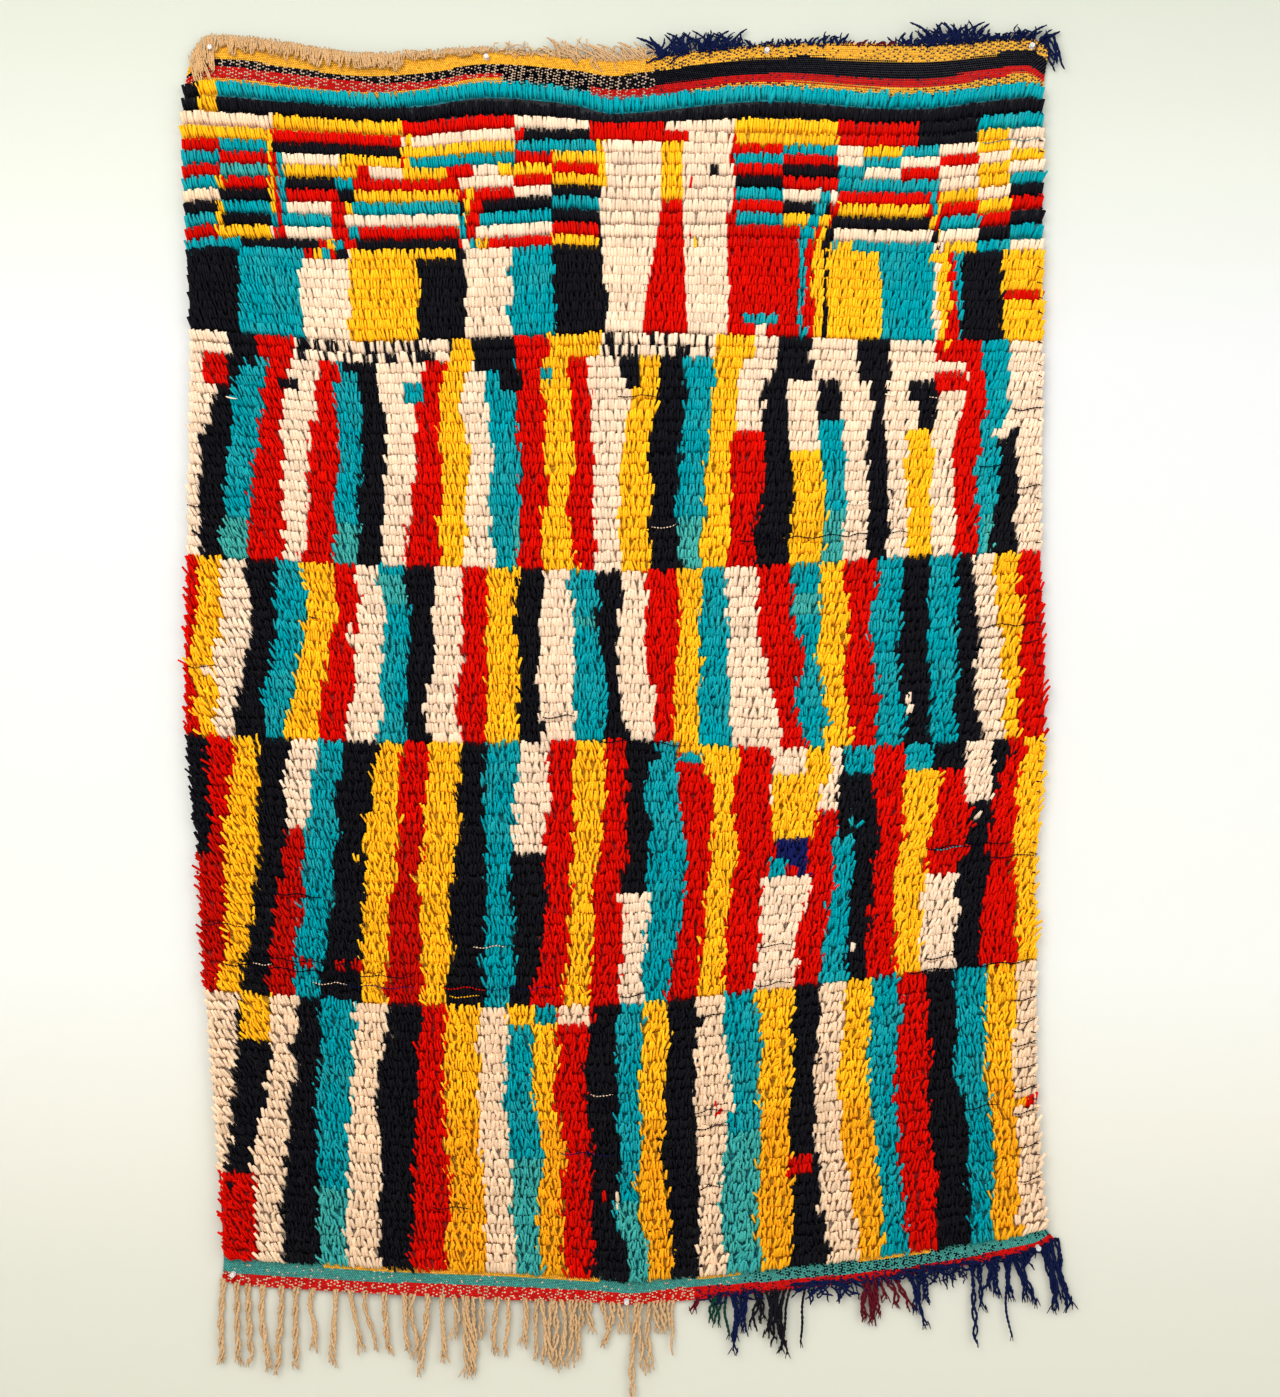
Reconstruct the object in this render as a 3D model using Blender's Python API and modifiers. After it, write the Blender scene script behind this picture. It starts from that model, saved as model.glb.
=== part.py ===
"""An azilal rug hanging flat by seven push pins. Metres, +Z up.

The rug's back lies in the plane y = 0 and its face looks along -Y. The origin is the middle of the top
edge, level with the top pins. A place on the rug is given by two numbers: across, from 0 at the left
selvedge to 1 at the right one, and row, which counts the rows of pile downwards from 0, where the pile
begins, to ROWS, where it ends. The flat-woven ends take BAND rows more above and below.
"""

import math
from collections import namedtuple

import bmesh
import bpy
from mathutils import Vector, noise

# Driving sizes
ROWS = 97
BAND = 2
FLAT_THICKNESS = 0.003
PILE_DEPTH = 0.018
GROOVE_DEPTH = 0.006
RIM_DEPTH = 0.011
LUMP = 0.0035
LUMPS_ACROSS = 21
LUMPS_TO_A_ROW = 0.37
BELLY = 0.6
GAP = 0.0004

# How far the flat-woven ends stand off the wall between two pins
TOP_BOW = 0.009
BOTTOM_BOW = 0.007
CORNER_SPAN = 0.2

# Locks at the side rims, one to every few rows. Each step gives its part of the reach and of the droop,
# and its size against the step before it
LOCK_EVERY = 3
LOCK_REACH = 0.012
LOCK_DROOP = 0.006
LOCK_STEPS = ((0.55, 0.5, 0.85), (0.45, 1.0, 0.50))
SELVEDGE_INSET = 0.007

# Push pins
NEEDLE_RADIUS = 0.0006
NEEDLE_POINT = 0.0008
NEEDLE_HOLE_RADIUS = 0.0011
NEEDLE_HOLE_DEPTH = 0.06
PIN_STEPS = 8
PIN_CLEARANCE = 0.0005

# Half the outline of a pin's head, from the rim of its foot to the middle of its top
Ring = namedtuple("Ring", "radius height")
PIN_HEAD = (
    Ring(0.0046, 0.0),
    Ring(0.0046, 0.0012),
    Ring(0.0027, 0.0030),
    Ring(0.0025, 0.0080),
    Ring(0.0042, 0.0100),
    Ring(0.0042, 0.0112),
    Ring(0.0, 0.0118),
)

# The narrow strips that the fringes are rooted in
STRIP_HEIGHT = 0.004
STRIP_MARGIN = 0.003
CORNER_ROOM = 0.0005

# How thin a strand grows towards its end, and how uneven the strands of a stretch are in length
STRAND_TAPER = 0.45
LEAST_LENGTH = 0.75
LENGTH_SPREAD = 0.5
UNEVENNESS = 95

# The selvedges, as distances from the middle of the rug
Selvedge = namedtuple("Selvedge", "row left right")
SELVEDGES = (
    Selvedge(-2, -0.700, 0.703),
    Selvedge(0, -0.706, 0.693),
    Selvedge(4, -0.711, 0.693),
    Selvedge(21, -0.697, 0.691),
    Selvedge(40, -0.700, 0.688),
    Selvedge(54, -0.701, 0.694),
    Selvedge(64, -0.681, 0.681),
    Selvedge(75, -0.672, 0.680),
    Selvedge(86, -0.656, 0.682),
    Selvedge(97, -0.643, 0.698),
    Selvedge(99, -0.646, 0.711),
)

# How far some lines across the rug lie below the top pins, at these places across it
STATIONS = (0.0, 0.025, 0.2, 0.35, 0.5, 0.67, 0.85, 0.98, 1.0)
Course = namedtuple("Course", "name row drops")
COURSES = (
    Course("top edge", -2, (0.028, -0.010, 0.013, 0.002, 0.016, -0.010, -0.009, -0.020, -0.002)),
    Course("pile begins", 0, (0.060, 0.047, 0.067, 0.054, 0.073, 0.055, 0.070, 0.052, 0.067)),
    Course("blocks end", 21, (0.457, 0.459, 0.478, 0.472, 0.462, 0.469, 0.477, 0.478, 0.478)),
    Course("first stripes end", 40, (0.828, 0.830, 0.844, 0.849, 0.856, 0.846, 0.831, 0.822, 0.820)),
    Course("second stripes end", 54, (1.121, 1.121, 1.132, 1.134, 1.128, 1.142, 1.137, 1.126, 1.124)),
    Course("third stripes end", 75, (1.534, 1.536, 1.557, 1.563, 1.560, 1.536, 1.508, 1.490, 1.487)),
    Course("pile ends", 97, (1.970, 1.972, 1.987, 1.995, 2.009, 1.987, 1.959, 1.930, 1.920)),
    Course("hem", 99, (2.006, 2.014, 2.027, 2.037, 2.045, 2.021, 1.990, 1.957, 1.938)),
)

# Where the solid's columns of points stand across the rug
COLUMNS = (0.0, 0.025, 0.11, 0.2, 0.28, 0.35, 0.43, 0.51, 0.59, 0.67, 0.76, 0.85, 0.92, 0.98, 1.0)

Pin = namedtuple("Pin", "across row")
PINS = (
    Pin(0.026, -1.75),
    Pin(0.347, -1.62),
    Pin(0.673, -1.65),
    Pin(0.981, -1.62),
    Pin(0.0125, 98.2),
    Pin(0.487, 98.65),
    Pin(0.982, 98.65),
)

# Each fringe in stretches of like strands: the places of the first and last one across the rug's middle,
# how many there are, their length, how far they lean to the right for each metre, and their width
Stretch = namedtuple("Stretch", "first last strands length lean width")
BOTTOM_NATURAL = (
    Stretch(-0.637, -0.518, 9, 0.112, 0.03, 0.0060),
    Stretch(-0.505, -0.398, 7, 0.085, 0.05, 0.0060),
    Stretch(-0.386, -0.308, 6, 0.100, 0.02, 0.0060),
    Stretch(-0.296, -0.218, 7, 0.110, 0.00, 0.0060),
    Stretch(-0.206, -0.153, 4, 0.085, 0.02, 0.0060),
    Stretch(-0.141, -0.056, 8, 0.095, 0.00, 0.0055),
    Stretch(-0.044, 0.012, 4, 0.048, 0.04, 0.0060),
    Stretch(0.022, 0.049, 3, 0.150, -0.06, 0.0060),
    Stretch(0.061, 0.117, 4, 0.045, 0.06, 0.0060),
)
BOTTOM_DARK = (
    Stretch(0.130, 0.180, 3, 0.035, 0.10, 0.0050),
    Stretch(0.192, 0.217, 3, 0.070, 0.00, 0.0050),
    Stretch(0.227, 0.287, 5, 0.085, 0.04, 0.0050),
    Stretch(0.298, 0.386, 6, 0.030, 0.06, 0.0060),
    Stretch(0.397, 0.465, 5, 0.060, 0.10, 0.0050),
    Stretch(0.476, 0.515, 3, 0.065, 0.12, 0.0050),
    Stretch(0.526, 0.563, 3, 0.025, 0.00, 0.0060),
    Stretch(0.575, 0.594, 2, 0.110, 0.02, 0.0050),
    Stretch(0.606, 0.668, 5, 0.090, 0.04, 0.0050),
    Stretch(0.682, 0.704, 3, 0.110, 0.24, 0.0050),
)
TOP_NATURAL = (
    Stretch(-0.198, -0.105, 9, 0.015, -0.10, 0.0060),
    Stretch(-0.095, -0.026, 7, 0.036, -0.30, 0.0055),
    Stretch(-0.016, 0.057, 7, 0.026, -0.30, 0.0055),
)
TOP_DARK = (
    Stretch(0.071, 0.188, 12, 0.032, 0.15, 0.0060),
    Stretch(0.199, 0.292, 6, 0.015, 0.20, 0.0070),
    Stretch(0.305, 0.374, 5, 0.020, 0.20, 0.0060),
    Stretch(0.387, 0.446, 5, 0.009, 0.00, 0.0070),
    Stretch(0.458, 0.560, 9, 0.034, 0.10, 0.0060),
    Stretch(0.573, 0.664, 7, 0.016, 0.30, 0.0070),
    Stretch(0.6825, 0.6935, 2, 0.020, 0.80, 0.0060),
)
TOP_FOLDED = (Stretch(-0.650, -0.232, 40, 0.030, 0.05, 0.0070),)

# Which way a strand runs, as steps of (part of its length, reach to the front, rise)
HANGING = ((0.33, 0.0, -0.33), (0.67, 0.001, -0.67), (1.0, 0.002, -1.0))
SHORT_HANGING = ((0.5, 0.001, -0.5), (1.0, 0.002, -1.0))
STANDING = ((0.55, 0.001, 0.55), (1.0, 0.004, 0.94))
FOLDED = ((0.15, 0.004, -0.03), (0.35, 0.0055, -0.25), (1.0, 0.006, -0.95))
SHORT_STRAND = 0.060

Stuff = namedtuple("Stuff", "name colour roughness")
NATURAL = Stuff("natural wool", (0.80, 0.66, 0.49), 0.9)
RED = Stuff("red wool", (0.56, 0.02, 0.01), 0.9)
NAVY = Stuff("navy wool", (0.012, 0.020, 0.090), 0.9)
CLEAR_PLASTIC = Stuff("clear plastic", (0.85, 0.85, 0.82), 0.15)


def curve_through(stations, values, at):
    """The value at one place of a smooth curve through the values at the stations."""
    last = len(stations) - 1
    i = max(k for k in range(last) if stations[k] <= at or k == 0)
    slopes = []
    for k in (i, i + 1):
        before, after = max(k - 1, 0), min(k + 1, last)
        slopes.append((values[after] - values[before]) / (stations[after] - stations[before]))
    span = stations[i + 1] - stations[i]
    t = (at - stations[i]) / span
    return (
        values[i] * (1 + 2 * t) * (1 - t) ** 2
        + slopes[0] * span * t * (1 - t) ** 2
        + values[i + 1] * t * t * (3 - 2 * t)
        - slopes[1] * span * t * t * (1 - t)
    )


def height_at(across, row):
    """Height of a place on the rug: straight down the rug from one named course to the next."""
    lower = next(k for k in range(1, len(COURSES)) if row <= COURSES[k].row or k == len(COURSES) - 1)
    above, below = COURSES[lower - 1], COURSES[lower]
    share = (row - above.row) / (below.row - above.row)
    drop_above = curve_through(STATIONS, above.drops, across)
    drop_below = curve_through(STATIONS, below.drops, across)
    return -(drop_above + (drop_below - drop_above) * share)


def rug_point(across, row, inset=0.0):
    """(x, z) of a place on the rug, the selvedges drawn in by the inset."""
    rows = [selvedge.row for selvedge in SELVEDGES]
    left = curve_through(rows, [selvedge.left for selvedge in SELVEDGES], row) + inset
    right = curve_through(rows, [selvedge.right for selvedge in SELVEDGES], row) - inset
    return left + (right - left) * across, height_at(across, row)


def across_of(x, row):
    """How far across the rug a distance from its middle is."""
    left, right = rug_point(0.0, row)[0], rug_point(1.0, row)[0]
    return (x - left) / (right - left)


def solid_edge(x, row):
    """Height and bow of the solid's own edge, which runs straight from each of its columns to the next."""
    across = min(max(across_of(x, row), 0.0), 1.0)
    i = max(k for k in range(len(COLUMNS) - 1) if COLUMNS[k] <= across)
    first, last = COLUMNS[i], COLUMNS[i + 1]
    share = (across - first) / (last - first)
    height = height_at(first, row) * (1 - share) + height_at(last, row) * share
    return height, bow_at(first, row) * (1 - share) + bow_at(last, row) * share


def bow_at(across, row):
    """How far the flat-woven ends stand off the wall: nothing at a pin, most between two pins."""
    if 0 <= row <= ROWS:
        return 0.0
    at_top = row < 0
    fixed = [pin.across for pin in PINS if (pin.row < 0) == at_top]
    ends = [-CORNER_SPAN] + fixed + [1 + CORNER_SPAN]
    i = max(k for k in range(len(ends) - 1) if ends[k] <= across)
    swell = math.sin(math.pi * (across - ends[i]) / (ends[i + 1] - ends[i])) ** 2
    reach = -row / BAND if at_top else (row - ROWS) / BAND
    return (TOP_BOW if at_top else BOTTOM_BOW) * swell * min(1.0, reach)


def face_depth(across, row):
    """How far the rug's face stands in front of its own back: a ridge for each row of pile."""
    if row <= 0 or row >= ROWS:
        return FLAT_THICKNESS
    lumps = noise.noise(Vector((across * LUMPS_ACROSS, row * LUMPS_TO_A_ROW, 2.0))) * LUMP
    depth = PILE_DEPTH + lumps
    if abs(row - round(row)) < 0.01:
        depth -= GROOVE_DEPTH
    return min(depth, RIM_DEPTH) if across in (0.0, 1.0) else depth


def material_for(stuff):
    material = bpy.data.materials.new(stuff.name)
    material.use_nodes = True
    shader = material.node_tree.nodes["Principled BSDF"]
    shader.inputs["Base Color"].default_value = (*stuff.colour, 1)
    shader.inputs["Roughness"].default_value = stuff.roughness
    shader.inputs["Metallic"].default_value = 0.0
    return material


def finish(name, bm, material, collection):
    """Turns a bmesh into a named object with its own material."""
    bmesh.ops.recalc_face_normals(bm, faces=bm.faces)
    mesh = bpy.data.meshes.new(name)
    bm.to_mesh(mesh)
    bm.free()
    mesh.materials.append(material)
    made = bpy.data.objects.new(name, mesh)
    collection.objects.link(made)
    return made


def slab(columns, lines, near, far):
    """A closed slab from a flat grid given a thickness. near and far place the points of its two sides.

    Returns the bmesh, and for each point its column, its line and whether it is on the near side.
    """
    bm = bmesh.new()
    bmesh.ops.create_grid(bm, x_segments=columns - 1, y_segments=lines - 1, size=1)
    bmesh.ops.solidify(bm, geom=bm.faces[:], thickness=0.5)
    middle = sum(vert.co.z for vert in bm.verts) / len(bm.verts)
    places = {}
    for vert in bm.verts:
        column = round((vert.co.x + 1) / 2 * (columns - 1))
        line = round((1 - vert.co.y) / 2 * (lines - 1))
        on_near = vert.co.z > middle
        places[vert] = (column, line, on_near)
    for vert, (column, line, on_near) in places.items():
        vert.co = near(column, line) if on_near else far(column, line)
    return bm, places


def grow_strand(bm, face, path, width, thickness, turned=False):
    """Draws a four-sided strand out of a quad, along the path. turned is for a quad that faces forward."""
    centre = face.calc_center_median()
    corners = []
    for vert in face.verts:
        outer = centre.y - vert.co.y if not turned else vert.co.z - centre.z
        corners.append((1 if vert.co.x > centre.x else -1, 1 if outer > 0 else -1))
    before = centre
    for k, point in enumerate(path):
        taper = 1.0 - STRAND_TAPER * k / len(path)
        run = point - before
        flat_run = math.hypot(run.y, run.z)
        # Points across the strand's thickness, turned with its run so that it stays the same strand
        front = Vector((0.0, run.z / flat_run, -run.y / flat_run))
        if not turned:
            front = front if front.y < 0 else -front
        extruded = bmesh.ops.extrude_discrete_faces(bm, faces=[face])
        face = extruded["faces"][0]
        for vert, (side, outer) in zip(face.verts, corners):
            half_width = Vector((width / 2 * taper * side, 0.0, 0.0))
            vert.co = point + half_width + front * (thickness / 2 * taper * outer)
        before = point


def build_rug(material, collection):
    """The woven rug as one solid: ridged pile between two flat-woven ends, with locks at its side rims."""
    rows = [-2.0, -1.0, 0.0]
    for k in range(ROWS):
        rows += [k + BELLY, k + 1.0]
    rows += [98.0, 99.0]

    def place(column, line, depth):
        across, row = COLUMNS[column], rows[line]
        in_pile = 0 < row < ROWS
        x, z = rug_point(across, row, SELVEDGE_INSET if in_pile else 0.0)
        return Vector((x, -bow_at(across, row) - depth, z))

    bm, places = slab(
        len(COLUMNS),
        len(rows),
        lambda column, line: place(column, line, face_depth(COLUMNS[column], rows[line])),
        lambda column, line: place(column, line, 0.0),
    )
    pile_back = []
    lock_roots = []
    for face in bm.faces:
        spots = [places[vert] for vert in face.verts]
        lines = [rows[line] for _, line, _ in spots]
        if not any(on_near for _, _, on_near in spots):
            if min(lines) >= 0 and max(lines) <= ROWS:
                pile_back.append(face)
            continue
        is_wall = any(not on_near for _, _, on_near in spots)
        at_rim = len({column for column, _, _ in spots}) == 1
        top_row = min(lines)
        if is_wall and at_rim and 0 < top_row < ROWS and abs(top_row % LOCK_EVERY - BELLY) < 0.01:
            lock_roots.append(face)
    for face in lock_roots:
        side = 1 if face.calc_center_median().x > 0 else -1
        for reach, droop, shrink in LOCK_STEPS:
            face = bmesh.ops.extrude_discrete_faces(bm, faces=[face])["faces"][0]
            centre = face.calc_center_median()
            moved = centre + Vector((side * LOCK_REACH * reach, 0.0, -LOCK_DROOP * droop))
            for vert in face.verts:
                vert.co = moved + (vert.co - centre) * shrink
    bmesh.ops.dissolve_faces(bm, faces=pile_back, use_verts=True)
    return finish("rug_body", bm, material, collection)


def build_fringe(name, stretches, edge_row, ways, material, collection):
    """A row of strands rooted in a narrow strip that lies along the top or bottom edge of the rug.

    ways gives the steps of a long strand and of a short one.
    """
    at_top = edge_row < 0
    turned = ways[0] is FOLDED
    strands = []
    for stretch in stretches:
        pitch = (stretch.last - stretch.first) / (stretch.strands - 1)
        for k in range(stretch.strands):
            x = stretch.first + pitch * k
            uneven = 0.5 + 0.5 * noise.noise(Vector((x * UNEVENNESS, edge_row, 7.0)))
            strands.append((x, stretch, LEAST_LENGTH + LENGTH_SPREAD * uneven))
    # The strip's columns: both sides of each root, and between two roots the corners of the rug's edge
    corners = [rug_point(across, edge_row)[0] for across in COLUMNS]
    first, last = strands[0], strands[-1]
    bounds = [first[0] - first[1].width / 2 - STRIP_MARGIN]
    root_columns = []
    for x, stretch, _ in strands:
        root = x - stretch.width / 2
        bounds += [corner for corner in corners if bounds[-1] + CORNER_ROOM < corner < root - CORNER_ROOM]
        root_columns.append(len(bounds))
        bounds += [root, x + stretch.width / 2]
    bounds.append(last[0] + last[1].width / 2 + STRIP_MARGIN)

    def place(column, line, depth):
        height, bow = solid_edge(bounds[column], edge_row)
        level = GAP + STRIP_HEIGHT * (1 - line) if at_top else -GAP - STRIP_HEIGHT * line
        return Vector((bounds[column], -bow - depth, height + level))

    bm, places = slab(
        len(bounds),
        2,
        lambda column, line: place(column, line, FLAT_THICKNESS),
        lambda column, line: place(column, line, GAP),
    )
    roots = {}
    for face in bm.faces:
        spots = [places[vert] for vert in face.verts]
        columns = {column for column, _, _ in spots}
        lines = {line for _, line, _ in spots}
        sides = {on_near for _, _, on_near in spots}
        if len(columns) != 2 or min(columns) not in root_columns:
            continue
        if turned:
            is_root = sides == {True}
        else:
            is_root = len(sides) == 2 and lines == ({0} if at_top else {1})
        if is_root:
            roots[root_columns.index(min(columns))] = face
    for k, (_, stretch, share) in enumerate(strands):
        start = roots[k].calc_center_median()
        length = stretch.length * share
        way = ways[0] if stretch.length > SHORT_STRAND or turned else ways[1]
        path = []
        for along, forward, rise in way:
            path.append(start + Vector((stretch.lean * length * along, -forward, rise * length)))
        grow_strand(bm, roots[k], path, stretch.width, FLAT_THICKNESS, turned)
    return finish(name, bm, material, collection)


def pin_profile():
    """Half the outline of a push pin, from the tip of its needle to the middle of its top."""
    needle = FLAT_THICKNESS + PIN_CLEARANCE - GAP
    point = (
        Ring(0.0, -needle),
        Ring(NEEDLE_RADIUS, -needle + NEEDLE_POINT),
        Ring(NEEDLE_RADIUS, 0.0),
    )
    return point + PIN_HEAD


def build_pins(material, rug, collection, cutters):
    """The push pins, and the holes that their needles make in the rug."""
    profile = bpy.data.meshes.new("push_pin")
    points = [(radius, 0.0, height) for radius, height in reversed(pin_profile())]
    profile.from_pydata(points, [(k, k + 1) for k in range(len(points) - 1)], [])
    profile.materials.append(material)
    for number, pin in enumerate(PINS, 1):
        x, z = rug_point(pin.across, pin.row)
        made = bpy.data.objects.new(f"push_pin_{number}", profile)
        made.location = (x, -FLAT_THICKNESS - PIN_CLEARANCE, z)
        made.rotation_euler = (math.pi / 2, 0.0, 0.0)
        collection.objects.link(made)
        turn = made.modifiers.new("turned", "SCREW")
        turn.axis = "Z"
        turn.steps = turn.render_steps = PIN_STEPS
        turn.use_merge_vertices = True
        turn.merge_threshold = 0.00001
        turn.use_smooth_shade = True

        bpy.ops.mesh.primitive_cylinder_add(
            vertices=PIN_STEPS,
            radius=NEEDLE_HOLE_RADIUS,
            depth=NEEDLE_HOLE_DEPTH,
            location=(x, 0.0, z),
            rotation=(math.pi / 2, 0.0, 0.0),
        )
        hole = bpy.context.object
        hole.name = f"needle_hole_{number}"
        hole.hide_render = True
        hole.display_type = "WIRE"
        for owner in list(hole.users_collection):
            owner.objects.unlink(hole)
        cutters.objects.link(hole)
        cut = rug.modifiers.new(hole.name, "BOOLEAN")
        cut.operation = "DIFFERENCE"
        cut.object = hole


def new_collection(name):
    collection = bpy.data.collections.new(name)
    bpy.context.scene.collection.children.link(collection)
    return collection


def main():
    for old in list(bpy.data.objects):
        bpy.data.objects.remove(old)
    parts = new_collection("azilal_rug")
    cutters = new_collection("cutters")
    natural, navy = material_for(NATURAL), material_for(NAVY)
    rug = build_rug(material_for(RED), parts)
    build_pins(material_for(CLEAR_PLASTIC), rug, parts, cutters)
    hanging, standing = (HANGING, SHORT_HANGING), (STANDING, STANDING)
    hem, top = ROWS + BAND, -BAND
    build_fringe("fringe_bottom_natural", BOTTOM_NATURAL, hem, hanging, natural, parts)
    build_fringe("fringe_bottom_dark", BOTTOM_DARK, hem, hanging, navy, parts)
    build_fringe("fringe_top_natural", TOP_NATURAL, top, standing, natural, parts)
    build_fringe("fringe_top_dark", TOP_DARK, top, standing, navy, parts)
    build_fringe("fringe_top_folded", TOP_FOLDED, top, (FOLDED, FOLDED), natural, parts)


main()
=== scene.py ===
"""An azilal rug of knotted wool pile, hanging flat by push pins."""

import bisect
import math
import random
from collections import namedtuple

import bmesh
import bpy
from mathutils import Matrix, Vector


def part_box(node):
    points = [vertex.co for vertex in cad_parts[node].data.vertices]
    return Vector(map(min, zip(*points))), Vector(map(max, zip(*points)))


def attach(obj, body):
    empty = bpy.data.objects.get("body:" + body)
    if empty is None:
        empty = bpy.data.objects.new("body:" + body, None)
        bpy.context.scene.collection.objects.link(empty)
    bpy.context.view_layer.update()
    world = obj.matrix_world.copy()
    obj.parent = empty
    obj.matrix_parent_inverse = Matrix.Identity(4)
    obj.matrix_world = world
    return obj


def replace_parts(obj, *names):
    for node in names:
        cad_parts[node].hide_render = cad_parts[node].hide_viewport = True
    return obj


bl_info = {
    "name": "Azilal Rug",
    "version": (1, 0, 0),
    "blender": (4, 5, 0),
    "location": "3D View > Sidebar > Rug",
    "description": "Makes a knotted wool rug with its fringes and push pins",
    "category": "Add Mesh",
}

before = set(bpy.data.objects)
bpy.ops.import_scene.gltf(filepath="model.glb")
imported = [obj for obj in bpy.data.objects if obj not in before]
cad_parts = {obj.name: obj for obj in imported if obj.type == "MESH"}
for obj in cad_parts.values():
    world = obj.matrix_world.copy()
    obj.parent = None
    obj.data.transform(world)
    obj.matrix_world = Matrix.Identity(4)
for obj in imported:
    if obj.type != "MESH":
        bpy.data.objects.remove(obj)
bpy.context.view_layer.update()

# The rug's surface is mapped by how far across it a point lies, from 0 to 1, and by its row of knots.
# Rows count down from the first row of pile, and a flat-woven end is as deep as END_ROWS of them. Lengths
# are in metres.
ROWS = 99
END_ROWS = 2
TOP_ROW = -END_ROWS
HEM_ROW = ROWS + END_ROWS
CLOTH_THICKNESS = 0.003

# How far the flat-woven ends stand off the wall midway between pins, and how far past the corners the next
# pins would be, as a share of the rug's width.
TOP_BOW = 0.009
BOTTOM_BOW = 0.007
CORNER_SPAN = 0.2

# Where the selvedges lie at some rows.
Selvedge = namedtuple("Selvedge", "row left right")
SELVEDGES = (
    Selvedge(-2, -0.700, 0.703),
    Selvedge(0, -0.706, 0.693),
    Selvedge(4, -0.711, 0.693),
    Selvedge(19, -0.697, 0.691),
    Selvedge(38, -0.700, 0.688),
    Selvedge(53, -0.701, 0.694),
    Selvedge(64, -0.681, 0.681),
    Selvedge(75, -0.672, 0.680),
    Selvedge(87, -0.656, 0.682),
    Selvedge(99, -0.643, 0.698),
    Selvedge(101, -0.646, 0.711),
)

# How far each course of the weave hangs below the top pins, at eleven stations across the rug.
STATIONS = (0.0, 0.025, 0.2, 0.275, 0.35, 0.45, 0.5, 0.67, 0.85, 0.98, 1.0)
Course = namedtuple("Course", "name row drops")
COURSES = (
    Course("top edge", -2,
           (0.028, -0.010, 0.013, 0.008, 0.000, 0.011, 0.016, -0.010, -0.009, -0.020, -0.002)),
    Course("pile begins", 0,
           (0.060, 0.047, 0.071, 0.066, 0.047, 0.058, 0.073, 0.055, 0.070, 0.052, 0.067)),
    Course("small blocks begin", 2,
           (0.102, 0.100, 0.116, 0.117, 0.108, 0.117, 0.133, 0.112, 0.122, 0.102, 0.105)),
    Course("third line of small blocks", 4,
           (0.146, 0.146, 0.160, 0.164, 0.153, 0.152, 0.150, 0.160, 0.162, 0.149, 0.151)),
    Course("sixth line of small blocks", 7,
           (0.213, 0.208, 0.212, 0.216, 0.210, 0.206, 0.210, 0.208, 0.215, 0.201, 0.200)),
    Course("ninth line of small blocks", 10,
           (0.274, 0.268, 0.272, 0.271, 0.268, 0.260, 0.266, 0.268, 0.276, 0.260, 0.258)),
    Course("large blocks begin", 13,
           (0.336, 0.328, 0.332, 0.331, 0.330, 0.324, 0.329, 0.329, 0.338, 0.332, 0.331)),
    Course("blocks end", 19,
           (0.457, 0.459, 0.478, 0.475, 0.472, 0.465, 0.462, 0.469, 0.477, 0.478, 0.478)),
    Course("first stripes end", 38,
           (0.828, 0.830, 0.844, 0.847, 0.849, 0.854, 0.856, 0.846, 0.831, 0.822, 0.820)),
    Course("second stripes end", 53,
           (1.121, 1.121, 1.132, 1.133, 1.134, 1.130, 1.128, 1.142, 1.137, 1.126, 1.124)),
    Course("third stripes end", 75,
           (1.534, 1.536, 1.557, 1.560, 1.563, 1.561, 1.560, 1.536, 1.508, 1.490, 1.487)),
    Course("pile ends", 99,
           (1.970, 1.972, 1.987, 1.991, 1.995, 2.004, 2.009, 1.987, 1.959, 1.930, 1.920)),
    Course("hem", 101,
           (2.006, 2.014, 2.027, 2.032, 2.037, 2.042, 2.045, 2.021, 1.990, 1.957, 1.938)),
)

# Where the push pins are.
Pin = namedtuple("Pin", "across row")
PINS = (
    Pin(0.026, -1.75),
    Pin(0.347, -1.62),
    Pin(0.673, -1.65),
    Pin(0.981, -1.62),
    Pin(0.0125, 100.2),
    Pin(0.487, 100.65),
    Pin(0.982, 100.65),
)

# The dyes, with the faded tone that each takes on in parts of the rug.
DYES = {
    "natural": ((0.81, 0.620, 0.450), (0.80, 0.58, 0.385)),
    "yellow": ((1.0, 0.51, 0.012), (0.90, 0.39, 0.010)),
    "red": ((0.64, 0.004, 0.001), (0.50, 0.005, 0.002)),
    "teal": ((0.0, 0.31, 0.36), (0.055, 0.38, 0.335)),
    "black": ((0.007, 0.007, 0.010), (0.014, 0.011, 0.011)),
    "navy": ((0.008, 0.012, 0.09), (0.010, 0.010, 0.05)),
}
LETTERS = {"n": "natural", "y": "yellow", "r": "red", "t": "teal", "k": "black", "b": "navy"}

# The warp, which ends in the fringes, and the other dyes of the loose ends.
WARP = (0.51, 0.325, 0.165)
FRINGE_NAVY = (0.005, 0.009, 0.042)
FRINGE_RED = (0.09, 0.006, 0.012)
FRINGE_GREEN = (0.004, 0.035, 0.022)
FOLDED_WARP = (0.55, 0.33, 0.15)
WEFT_DARK = (0.008, 0.006, 0.014)

# A stripe runs down its band. Its edges are where its right side lies at the band's marks, in millimetres
# from the rug's middle. From the row given as turns, if any, the rest of it is in the second dye. The
# letter m stands for natural and black mixed. A band runs from its first row to its last, and is knotted in
# as many lines as knots says. The last stripe's edge is past the rim.
Band = namedtuple("Band", "first last knots marks stripes")
RIM = (760,) * 6
FAR_LEFT = -2000.0

# How far a stripe's edge strays in millimetres: slowly down the rug, and anew in each line of knots.
EDGE_SWAY = 2.0
EDGE_RAGGEDNESS = 2.2


def stripe(dyes, edges, turns=None):
    """One stripe: a letter for its dye, or two where it changes, and its right edge at each mark."""
    return dyes, edges, turns


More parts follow.
